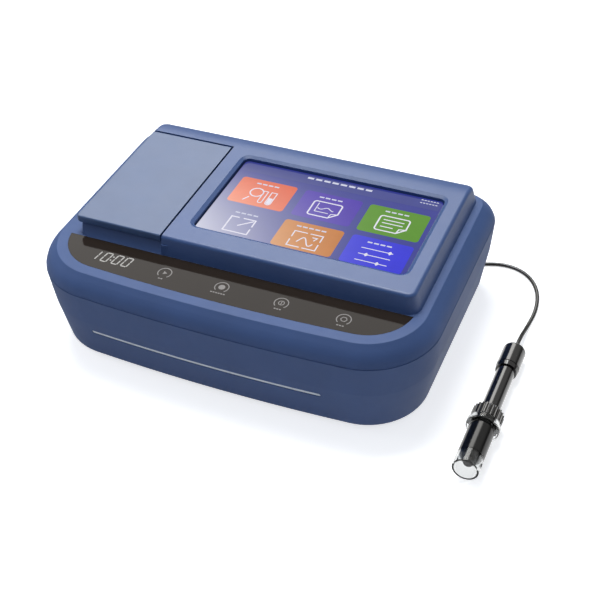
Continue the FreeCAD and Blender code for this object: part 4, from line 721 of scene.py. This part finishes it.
def add_cable():
    data = bpy.data.curves.new("probe_cable", "CURVE")
    data.dimensions = "3D"
    spline = data.splines.new("NURBS")
    points = [spot(*point) for point in cable_points()]
    spline.points.add(len(points) - 1)
    for knot, place in zip(spline.points, points):
        knot.co = (*place, 1.0)
    spline.order_u = 3
    spline.use_endpoint_u = True
    data.resolution_u = 6
    item = bpy.data.objects.new("probe_cable", data)
    bpy.context.scene.collection.objects.link(item)
    bpy.context.view_layer.update()
    length = curve_length(item)
    print("cable length", round(length, 3))
    data.bevel_depth = CABLE_ACROSS / 2 * MM
    data.bevel_resolution = 5
    data.use_fill_caps = True
    data.materials.append(CABLE)
    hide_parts("cable_lead", "cable_coil", "cable_tail")
    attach(item, "base")


def draw_tie(form):
    """A strap round the coil's bundle, at the side away from the plug."""
    outer, inner, low, high, corner = 22.8, 11.8, 0.05, 10.8, 2.0
    thick, wide = 0.6, 8
    loops = []
    for gap in (0.0, thick):
        outline = round_box(COIL[0] - outer + gap, COIL[0] - inner - gap, low + gap, high - gap, corner - gap)
        for y in (COIL[1] - wide / 2, COIL[1] + wide / 2):
            loops.append([form.verts.new(spot(x, y, z)) for x, z in outline])
    for first, second in ((0, 1), (2, 3), (0, 2), (1, 3)):
        one, other = loops[first], loops[second]
        for index in range(len(one)):
            after = (index + 1) % len(one)
            form.faces.new((one[index], one[after], other[after], other[index]))


# Stage

def add_floor():
    data = bpy.data.meshes.new("floor")
    reach = 6.0
    data.from_pydata([(-reach, -reach, 0), (reach, -reach, 0), (reach, reach, 0), (-reach, reach, 0)], [],
                     [(0, 1, 2, 3)])
    item = bpy.data.objects.new("floor", data)
    bpy.context.scene.collection.objects.link(item)
    data.materials.append(floor_look())


def floor_gloss(look):
    """How light the floor is in the object's gloss: more beside its right side than before it."""
    parts = look.add("ShaderNodeSeparateXYZ")
    look.link(look.place, parts.inputs[0])
    shares = []
    for axis, near, far in (("X", 0.02, 0.12), ("Y", -0.18, -0.04)):
        share = look.add("ShaderNodeMapRange", interpolation_type="SMOOTHSTEP")
        share.inputs["From Min"].default_value = near
        share.inputs["From Max"].default_value = far
        look.link(parts.outputs[axis], share.inputs["Value"])
        shares.append(share.outputs["Result"])
    side = look.add("ShaderNodeMath", operation="MULTIPLY")
    look.link(shares[0], side.inputs[0])
    look.link(shares[1], side.inputs[1])
    level = look.add("ShaderNodeMath", operation="MULTIPLY_ADD")
    level.inputs[1].default_value = 0.55
    level.inputs[2].default_value = 0.58
    look.link(side.outputs[0], level.inputs[0])
    return level.outputs[0]


def floor_look():
    """White to the camera with the object's shadow, a plain light in its gloss, and unseen from below."""
    look = Look("floor_white")
    look.set(Base_Color=(0.8, 0.8, 0.8, 1.0), Roughness=0.8, Specular_IOR_Level=0.1)
    seen = look.add("ShaderNodeLightPath")
    glowing = look.add("ShaderNodeEmission")
    glowing.inputs["Color"].default_value = (0.68, 0.68, 0.68, 1.0)
    look.link(seen.outputs["Is Camera Ray"], glowing.inputs["Strength"])
    plain = look.add("ShaderNodeAddShader")
    look.link(look.shader.outputs[0], plain.inputs[0])
    look.link(glowing.outputs[0], plain.inputs[1])
    mirrored = look.add("ShaderNodeEmission")
    look.link(floor_gloss(look), mirrored.inputs["Strength"])
    mixed = look.add("ShaderNodeMixShader")
    look.link(seen.outputs["Is Glossy Ray"], mixed.inputs[0])
    look.link(plain.outputs[0], mixed.inputs[1])
    look.link(mirrored.outputs[0], mixed.inputs[2])
    face = look.add("ShaderNodeNewGeometry")
    open_below = look.add("ShaderNodeMixShader")
    look.link(face.outputs["Backfacing"], open_below.inputs[0])
    look.link(mixed.outputs[0], open_below.inputs[1])
    look.link(look.add("ShaderNodeBsdfTransparent").outputs[0], open_below.inputs[2])
    look.link(open_below.outputs[0], look.out.inputs["Surface"])
    return look.material


def add_lamp(name, aim, place, size, power, colour=(1.0, 1.0, 1.0)):
    data = bpy.data.lights.new(name, "AREA")
    data.shape = "RECTANGLE"
    data.size, data.size_y = size
    data.energy = power
    data.color = colour
    item = bpy.data.objects.new(name, data)
    bpy.context.scene.collection.objects.link(item)
    direction = Vector(aim) - Vector(place)
    item.location = place
    item.rotation_euler = direction.to_track_quat("-Z", "Y").to_euler()


def add_world():
    """White to the camera; in the object's gloss dim in front and lighter behind, with one bright box."""
    world = bpy.data.worlds.new("world")
    bpy.context.scene.world = world
    world.use_nodes = True
    tree = world.node_tree
    tree.nodes.clear()
    add, link = tree.nodes.new, tree.links.new
    out, path, place = add("ShaderNodeOutputWorld"), add("ShaderNodeLightPath"), add("ShaderNodeTexCoord")
    parts = add("ShaderNodeSeparateXYZ")
    link(place.outputs["Generated"], parts.inputs[0])
    box = add("ShaderNodeVectorMath")
    box.operation = "DOT_PRODUCT"
    box.inputs[1].default_value = Vector((-0.34, 0.67, 0.66)).normalized()
    link(place.outputs["Generated"], box.inputs[0])

    def graded(source, near, far, low, high):
        """A level that changes smoothly along a source."""
        level = add("ShaderNodeMapRange")
        level.interpolation_type = "SMOOTHSTEP"
        for name, value in (("From Min", near), ("From Max", far), ("To Min", low), ("To Max", high)):
            level.inputs[name].default_value = value
        link(source, level.inputs["Value"])
        return level.outputs["Result"]

    gloss = add("ShaderNodeMath")
    gloss.operation = "MULTIPLY_ADD"
    link(graded(parts.outputs["Y"], -0.5, 0.5, 0.1, 0.5), gloss.inputs[0])
    link(graded(parts.outputs["Z"], 0.12, 0.5, 0.15, 1.0), gloss.inputs[1])
    link(graded(box.outputs["Value"], 0.925, 0.965, 0.0, 3.6), gloss.inputs[2])
    plain = graded(parts.outputs["Y"], -0.5, 0.5, 0.36, 0.32)
    seen, shiny, lit = (add("ShaderNodeBackground") for _ in range(3))
    seen.inputs["Color"].default_value = (1.0, 1.0, 1.0, 1.0)
    for background, strength, colour in ((shiny, gloss.outputs[0], (1.0, 0.99, 0.96, 1.0)),
                                         (lit, plain, (0.86, 0.95, 1.12, 1.0))):
        link(strength, background.inputs["Strength"])
        background.inputs["Color"].default_value = colour
    glossy, direct = add("ShaderNodeMixShader"), add("ShaderNodeMixShader")
    link(path.outputs["Is Glossy Ray"], glossy.inputs[0])
    link(lit.outputs[0], glossy.inputs[1])
    link(shiny.outputs[0], glossy.inputs[2])
    link(path.outputs["Is Camera Ray"], direct.inputs[0])
    link(glossy.outputs[0], direct.inputs[1])
    link(seen.outputs[0], direct.inputs[2])
    link(direct.outputs[0], out.inputs["Surface"])


def add_lights():
    add_world()
    add_lamp("back_box", (-0.05, 0.0, 0.08), (-0.30, 0.42, 1.65), (0.8, 0.6), 22.0, (0.97, 0.985, 1.0))
    add_lamp("side_box", (-0.05, 0.0, 0.08), (-1.35, -0.25, 0.95), (0.6, 0.6), 3.0, (1.0, 0.99, 0.97))


dress_nodes()
add_cable()
add_mesh("coil_tie", draw_tie, FOAM, "base")
add_screen()
add_strip_prints()
add_floor()
add_lights()
